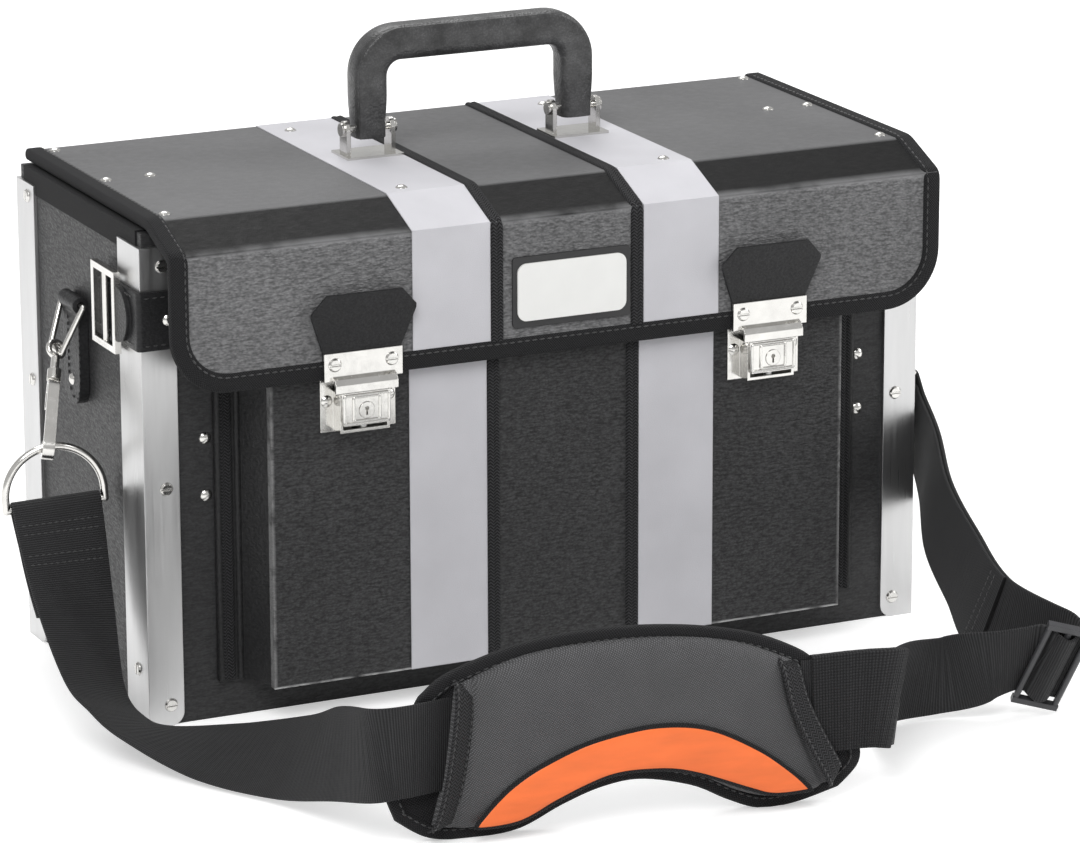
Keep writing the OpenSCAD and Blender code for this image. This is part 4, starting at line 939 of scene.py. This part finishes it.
PAD_AT = np.array([-55.0, -315.3, 0.5]) * MM
PAD_TURN = math.radians(-9)
PAD_SIDE = np.array([math.cos(PAD_TURN), math.sin(PAD_TURN), 0])
PAD_OUT = np.array([math.sin(PAD_TURN), -math.cos(PAD_TURN), 0])
PAD_BACK = 3 * MM
UP = np.array([0, 0, 1])

# The pad's outlines in its own plane, in millimetres, each as lower, right, upper, left line.
BASE_LINES = (
    [(-122, 12), (-106, 2), (-86, 0), (-62, 2), (-40, 12), (-20, 19), (0, 21), (26, 15), (44, 6),
     (60, 0), (78, 1), (100, 7)],
    [(100, 7), (110, 18), (109, 30), (98, 48), (90, 68)],
    [(-110, 71), (-95, 82), (-60, 93), (-20, 97), (20, 95), (55, 88), (80, 77), (90, 68)],
    [(-122, 12), (-127, 30), (-120, 50), (-110, 71)])
COVER_LINES = (
    [(-105, 7), (-88, 5), (-62, 7), (-42, 16), (-22, 24), (0, 25.5), (28, 19.5), (48, 10),
     (64, 5.5), (84, 6), (101, 13)],
    [(101, 13), (90, 33), (80, 55), (76, 74)],
    [(-93, 77), (-60, 89), (-20, 92.5), (20, 91), (50, 85), (76, 74)],
    [(-105, 7), (-100, 28), (-96, 52), (-93, 77)])
INSERT_LINES = (
    [(-86, 8), (-65, 9), (-45, 18), (-20, 27.5), (5, 28.5), (26, 24), (51, 14), (64, 10), (83, 10)],
    [(83, 10), (80, 13), (77, 16)],
    [(-86, 8), (-70, 25), (-50, 37), (-25, 46), (5, 50), (31, 46), (56, 33), (77, 16)],
    [(-86, 8), (-86, 8.01), (-86, 8.02)])


def even_curve(points, n):
    """The smooth line through the points, at n places evenly apart."""
    line = smooth_line(points, 24) * MM
    s = travelled(line)
    return at_places(np.linspace(0, s[-1], n), s, line)


def patch(lines, n, m):
    """Surface between four lines: the straight blend from lower to upper line plus the one
    from left to right line, less the blend of the four corners."""
    low, right, high, left = (even_curve(line, k) for line, k in zip(lines, (n, m, n, m)))
    u, v = np.linspace(0, 1, n)[:, None, None], np.linspace(0, 1, m)[None, :, None]
    corners = ((1 - u) * ((1 - v) * low[0] + v * high[0])
               + u * ((1 - v) * low[-1] + v * high[-1]))
    return ((1 - v) * low[:, None] + v * high[:, None] + (1 - u) * left + u * right - corners)


def ring_of(lines, n, step):
    """The closed outline of a patch at even steps, anticlockwise as seen from the front."""
    low, right, high, left = (even_curve(line, n) for line in lines)
    return even_ring(np.concatenate([part[:-1] for part in (low, right, high[::-1], left[::-1])]),
                     step)


def in_plane(flat):
    """The (sideways, upwards) directions of the pad's plane set in the object's frame."""
    return flat[..., :1] * PAD_SIDE + flat[..., 1:] * UP


def on_pad(flat, height=0.0):
    """Places in the pad's plane, lifted by height off its front, set in the object's frame."""
    lift = np.broadcast_to(height, flat.shape[:-1])[..., None]
    return PAD_AT + in_plane(flat) + lift * PAD_OUT


def quilted(name, node, look, lines, n, m, front, back, crease=None):
    """A padded piece in a node's place: a closed slab over a patch, its front lifted by
    front(u, v, x, z), its back flat at back, the two joined along their border."""
    flat = patch(lines, n, m)
    u, v = np.meshgrid(np.linspace(0, 1, n), np.linspace(0, 1, m), indexing="ij")
    faces = [sheet_mesh(name, on_pad(flat, lift), u[:, 0], v[0])
             for lift in (front(u, v, flat[..., 0], flat[..., 1]), back)]
    mesh = close_up(*faces, merge=1e-6, bridge=True)
    bpy.data.meshes.remove(faces[1])
    places = np.empty(len(mesh.vertices) * 3)
    mesh.vertices.foreach_get("co", places)
    index = np.empty(len(mesh.loops), int)
    mesh.loops.foreach_get("vertex_index", index)
    uv = places.reshape(-1, 3)[index][:, [0, 2]] / MM
    mesh.uv_layers.active.data.foreach_set("uv", uv.astype(np.float32).ravel())
    place_piece(name, mesh, "case", look, [node], crease)


def crown(u, v, power_u=10, power_v=5):
    """1 in the middle, falling to 0 at the border as a steep rounded shoulder."""
    return ((1 - np.abs(2 * u - 1) ** power_u) * (1 - np.abs(2 * v - 1) ** power_v)) ** 0.45


class CASE_OT_pad_backing(bpy.types.Operator):
    """Pad backing and its bound edge: a thin flat patch, with a U-shaped tape carried round
    the whole outline."""
    bl_idname = "case.pad_backing"
    bl_label = "Pad backing"

    def execute(self, context):
        quilted("pad_backing_cloth", "pad_backing", "pad_edge", BASE_LINES, 90, 24,
                lambda *place: 0.0, -PAD_BACK, 40)
        ring = ring_of(BASE_LINES, 60, 2.2 * MM)
        along = round_steps(ring)
        inward = np.stack([-along[:, 1], along[:, 0]], 1)
        inward = in_plane(unit(sum(np.roll(inward, k, 0) for k in range(-2, 3))))
        path = on_pad(ring)
        tape = folded_tape([5.8 * MM, 5.2 * MM, 3 * MM], [0.1 * MM, MM, 1.2 * MM], 1.2 * MM,
                           [PAD_BACK], 0.4 * MM, 8)
        swept("pad_edge_tape", path, inward, PAD_OUT, tape, "case", "pad_edge", (),
              50, ring=True)
        line = path + inward * 4.5 * MM + PAD_OUT * 1.1 * MM
        seam("pad_edge_stitches", line[::2], (np.roll(path, -1, 0) - path)[::2], PAD_OUT,
             "pad_edging", 2.8 * MM)
        return {"FINISHED"}


class CASE_OT_pad_cushion(bpy.types.Operator):
    """Crowned cushion of woven cloth: a patch lifted by a steep-shouldered crown with a slow
    swell, pressed in along its end seams and lightly puckered at the upper one."""
    bl_idname = "case.pad_cushion"
    bl_label = "Pad cushion"

    def execute(self, context):
        loft = sizes().pad_loft

        def front(u, v, x, z):
            near_top = np.exp(-((v - 0.96) / 0.06) ** 2)
            pucker = 0.22 * MM * np.sin(x * 900 + 3 * np.sin(z * 120)) * near_top
            swell = 0.4 * MM * np.sin(x * 55 + 1) * np.sin(z * 70)
            from_end = np.minimum(u, 1 - u) * 190
            dip = 1.6 * MM * np.exp(-((from_end - 9.5) / 1.3) ** 2)
            return np.maximum(crown(u, v) * (loft + swell) + pucker - dip, -0.2 * MM)

        quilted("pad_cushion_cloth", "pad_cushion", "pad", COVER_LINES, 200, 80,
                front, -0.4 * MM)
        return {"FINISHED"}


class CASE_OT_pad_insert(bpy.types.Operator):
    """Bright crescent sewn on the cushion: a low crown over its patch, with a round welt
    carried along its outline."""
    bl_idname = "case.pad_insert"
    bl_label = "Pad insert"

    def execute(self, context):
        loft = sizes().pad_loft

        def front(u, v, x, z):
            crease = 0.18 * MM * np.sin(x * 210 + 40 * z) * crown(u, v, 6, 4)
            return loft + 0.4 * MM + crown(u, v, 12, 4) * 1.7 * MM + crease

        quilted("pad_insert_cloth", "pad_insert", "insert", INSERT_LINES, 160, 36,
                front, loft - 2.2 * MM, 60)
        path = on_pad(ring_of(INSERT_LINES, 70, 1.8 * MM), loft + 0.2 * MM)
        along = round_steps(path)
        side = unit(np.cross(along, PAD_OUT))
        turn = np.linspace(0, 2 * math.pi, 12, endpoint=False)
        welt = 1.3 * MM * np.stack([np.cos(turn), np.sin(turn)], 1)
        swept("pad_insert_welt", path, side, np.cross(side, along), welt, "case", "pad_edge",
              ring=True)
        return {"FINISHED"}


class CASE_OT_pad_ends(bpy.types.Operator):
    """Tapes sewn over the cushion's two ends: flat bands carried along the end lines, leaning
    over the crown's shoulder."""
    bl_idname = "case.pad_ends"
    bl_label = "Pad end tapes"

    def execute(self, context):
        profile = rounded_bar(13 * MM, 1.2 * MM, 0.5 * MM, 3)
        for (sign, name), line in zip(SIDES, (COVER_LINES[3], COVER_LINES[1][::-1])):
            t = np.linspace(-1, 1, 40)
            lift = 2 * MM + (sizes().pad_loft - 2.2 * MM) * (1 - np.abs(t) ** 5) ** 0.45
            path = on_pad(even_curve(line, 40) - [sign * 3.5 * MM, 0.0], lift)
            along = unit(np.gradient(path, axis=0))
            outs = squared(PAD_OUT, along)
            side = unit(np.cross(along, outs))
            c, s = math.cos(sign * 0.55), math.sin(sign * 0.55)
            side, outs = side * c + outs * s, outs * c - side * s
            swept(f"pad_end_{name}", path, side, outs, profile, "case", "braid",
                  (), 50)
            for edge, at in (("outer", -5 * MM), ("inner", 5 * MM)):
                line = path + side * at + outs * 0.6 * MM
                seam(f"pad_end_{name}_stitches_{edge}", *along_line(line, outs, SMALL_PITCH, 1),
                     "pad_edging", 2.4 * MM)
        return {"FINISHED"}


# ---- small leather and the locks


# Where the stitches stand: on the bands' outer face and tips, and round the side tabs.
BAND_FACE, BAND_X0, BAND_X1, TAB_FACE = 0.2224, 0.2195, 0.2026, 0.2236
BAND_Y = (-0.084, -0.0385)
TAB_LINE = ((-0.0102, 0.196), (-0.0102, 0.163), (-0.0072, 0.1545), (-0.002, 0.1518),
            (0.0032, 0.1545), (0.0062, 0.163), (0.0062, 0.196))
SMALL_PITCH = 0.0036


def border_seam(name, corners, out):
    """Stitches along a line of straight legs through the corners, in the small leather."""
    corners, out = np.array(corners, float), np.array(out)
    centres, runs = [], []
    for a, b in zip(corners[:-1], corners[1:]):
        n = max(1, int(np.linalg.norm(b - a) / SMALL_PITCH))
        t = (np.arange(n) + 0.5)[:, None] / n
        centres.append(a + t * (b - a))
        runs.append(np.tile(b - a, (n, 1)))
    seam(name, np.concatenate(centres) + out * 0.3 * MM, np.concatenate(runs), out,
         "strap_leather", 2.5 * MM, 0.7 * MM, 0.4 * MM)


class CASE_OT_stitching(bpy.types.Operator):
    """Seams of the small leather pieces, each a line of grains set along its border."""
    bl_idname = "case.stitching"
    bl_label = "Leather seams"

    def execute(self, context):
        low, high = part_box("corner_bands")
        front, z0, z1 = low.y, low.z + 2.8 * MM, high.z - 2.8 * MM
        tip = ((BAND_X0, z0), (BAND_X1, z0), (BAND_X1, z1), (BAND_X0, z1))
        for s, name in SIDES:
            out = (s, 0, 0)
            for end, z in (("", z0), ("_high", z1)):
                border_seam(f"band_{name}_side_seam{end}", [[s * BAND_FACE, y, z] for y in BAND_Y],
                            out)
            border_seam(f"band_{name}_front_seam", [[s * x, front, z] for x, z in tip], TO_FRONT)
            border_seam(f"hanger_{name}_seam", [[s * TAB_FACE, y, z] for y, z in TAB_LINE][::s],
                        out)
        return {"FINISHED"}


class CASE_OT_lock_frames(bpy.types.Operator):
    """Pressed frames on each lock button: a low half-round ridge carried round a rectangle
    with rounded corners, one inside the other."""
    bl_idname = "case.lock_frames"
    bl_label = "Lock frames"

    def execute(self, context):
        turn, r, sink = np.linspace(0, math.pi, 7), 0.8 * MM, 0.2 * MM
        ridge = np.concatenate([r * np.stack([np.cos(turn), np.sin(turn)], 1),
                                [[-r, -sink], [r, -sink]]])
        for _, side in SIDES:
            low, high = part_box(f"lock_button_{side}")
            middle = np.array([(low.x + high.x) / 2, low.y, (low.z + high.z) / 2])
            for name, wide, tall in (("outer", 24.4, 14.4), ("inner", 14.4, 12.4)):
                ring = rounded_bar(wide * MM, tall * MM, 1.2 * MM)
                path = middle + np.insert(ring, 1, 0, axis=1)
                across = unit(np.cross(round_steps(path), TO_FRONT))
                swept(f"lock_frame_{side}_{name}", path, across, TO_FRONT, ridge,
                      f"button_{side}", "nickel", (), 50, ring=True)
        return {"FINISHED"}


# ---- stage

CAMERA_AT = Vector((-1.1417, -2.5052, 0.8931))
CAMERA_AZ, CAMERA_EL, CAMERA_ROLL = (math.radians(a) for a in (-25.26, 15.84, -0.16))
CAMERA_LENS, SENSOR = 179.43, 36.0
FLOOR_REACH, FLOOR_GREY, FLOOR_GLOW = 6, 0.82, 0.45
WORLD_LIGHT, WORLD_SEEN = 0.55, 1.0
# Each lamp's name, its place, the height over the origin that it faces, its size and its watts.
LAMPS = (("key_lamp", (-1.3, -1.6, 2.2), 0.15, 1.6, 42),
         ("top_lamp", (0.2, 1.3, 2.2), 0.2, 1.8, 24),
         ("side_lamp", (1.9, -0.9, 1.2), 0.15, 1.2, 14))


class CASE_OT_stage(bpy.types.Operator):
    """Pale floor, white surroundings, soft lamps and the camera."""
    bl_idname = "case.stage"
    bl_label = "Stage"

    def floor(self):
        mesh = bpy.data.meshes.new("floor")
        corners = [(x * FLOOR_REACH, y * FLOOR_REACH, 0)
                   for x, y in ((-1, -1), (1, -1), (1, 1), (-1, 1))]
        mesh.from_pydata(corners, [], [(0, 1, 2, 3)])
        m = Finish("floor_paper", 3 * (FLOOR_GREY,), 0.9, Specular_IOR_Level=0.1,
                   Emission_Color=(1, 1, 1, 1))
        path = m.add("ShaderNodeLightPath").outputs
        seen = m.calc("MAXIMUM", path["Is Camera Ray"], path["Is Glossy Ray"])
        m.join(m.times(seen, FLOOR_GLOW), m.shader.inputs["Emission Strength"])
        mesh.materials.append(m.material)
        put_in_scene("floor", mesh)

    def world(self):
        world = bpy.context.scene.world = bpy.data.worlds.new("studio")
        world.use_nodes = True
        nodes, join = world.node_tree.nodes, world.node_tree.links.new
        path = nodes.new("ShaderNodeLightPath").outputs
        seen, level = nodes.new("ShaderNodeMath"), nodes.new("ShaderNodeMapRange")
        seen.operation = "MAXIMUM"
        join(path["Is Camera Ray"], seen.inputs[0])
        join(path["Is Transmission Ray"], seen.inputs[1])
        join(seen.outputs[0], level.inputs["Value"])
        level.inputs["To Min"].default_value = WORLD_LIGHT
        level.inputs["To Max"].default_value = WORLD_SEEN
        back = nodes["Background"].inputs
        back["Color"].default_value = (1, 1, 1, 1)
        join(level.outputs["Result"], back["Strength"])

    def lamp(self, name, at, faced, size, watts):
        data = bpy.data.lights.new(name, "AREA")
        data.shape, data.size, data.energy = "DISK", size, watts
        obj = put_in_scene(name, data)
        obj.location = at
        look = Vector((0, 0, faced)) - obj.location
        obj.rotation_euler = look.to_track_quat("-Z", "Y").to_euler()

    def camera(self):
        data = bpy.data.cameras.new("camera")
        data.sensor_fit, data.sensor_width, data.lens = "HORIZONTAL", SENSOR, CAMERA_LENS
        back = Vector((math.sin(CAMERA_AZ) * math.cos(CAMERA_EL),
                       -math.cos(CAMERA_AZ) * math.cos(CAMERA_EL), math.sin(CAMERA_EL)))
        right = Vector((math.cos(CAMERA_AZ), math.sin(CAMERA_AZ), 0))
        turn = Matrix((right, back.cross(right), back)).transposed().to_4x4()
        obj = bpy.context.scene.camera = put_in_scene("camera", data)
        obj.matrix_world = (Matrix.Translation(CAMERA_AT) @ turn
                            @ Matrix.Rotation(CAMERA_ROLL, 4, "Z"))

    def execute(self, context):
        self.floor()
        self.world()
        for lamp in LAMPS:
            self.lamp(*lamp)
        self.camera()
        context.scene.view_settings.view_transform = "Standard"
        return {"FINISHED"}


# ---- add-on

MAKERS = (CASE_OT_finishes, CASE_OT_lid_binding, CASE_OT_braids, CASE_OT_handle, CASE_OT_straps,
          CASE_OT_sleeve, CASE_OT_pad_backing, CASE_OT_pad_cushion, CASE_OT_pad_insert,
          CASE_OT_pad_ends, CASE_OT_stitching, CASE_OT_lock_frames, CASE_OT_stage)


class CASE_PT_panel(bpy.types.Panel):
    """Sizes, colours and makers of the tool case."""
    bl_idname = "CASE_PT_panel"
    bl_label = "Tool Case"
    bl_space_type = "VIEW_3D"
    bl_region_type = "UI"
    bl_category = "Tool Case"

    def draw(self, context):
        for group in (context.scene.case_sizes, context.scene.case_colours):
            column = self.layout.column(align=True)
            for name in group.bl_rna.properties.keys():
                if name not in ("rna_type", "name"):
                    column.prop(group, name)
        column = self.layout.column(align=True)
        for maker in MAKERS:
            column.operator(maker.bl_idname)


CLASSES = (CaseSizes, CaseColours, *MAKERS, CASE_PT_panel)


def register():
    for cls in CLASSES:
        bpy.utils.register_class(cls)
    bpy.types.Scene.case_sizes = bpy.props.PointerProperty(type=CaseSizes)
    bpy.types.Scene.case_colours = bpy.props.PointerProperty(type=CaseColours)


def unregister():
    del bpy.types.Scene.case_colours
    del bpy.types.Scene.case_sizes
    for cls in reversed(CLASSES):
        bpy.utils.unregister_class(cls)


def main():
    register()
    for maker in MAKERS:
        group, name = maker.bl_idname.split(".")
        getattr(getattr(bpy.ops, group), name)()


if __name__ == "__main__":
    main()
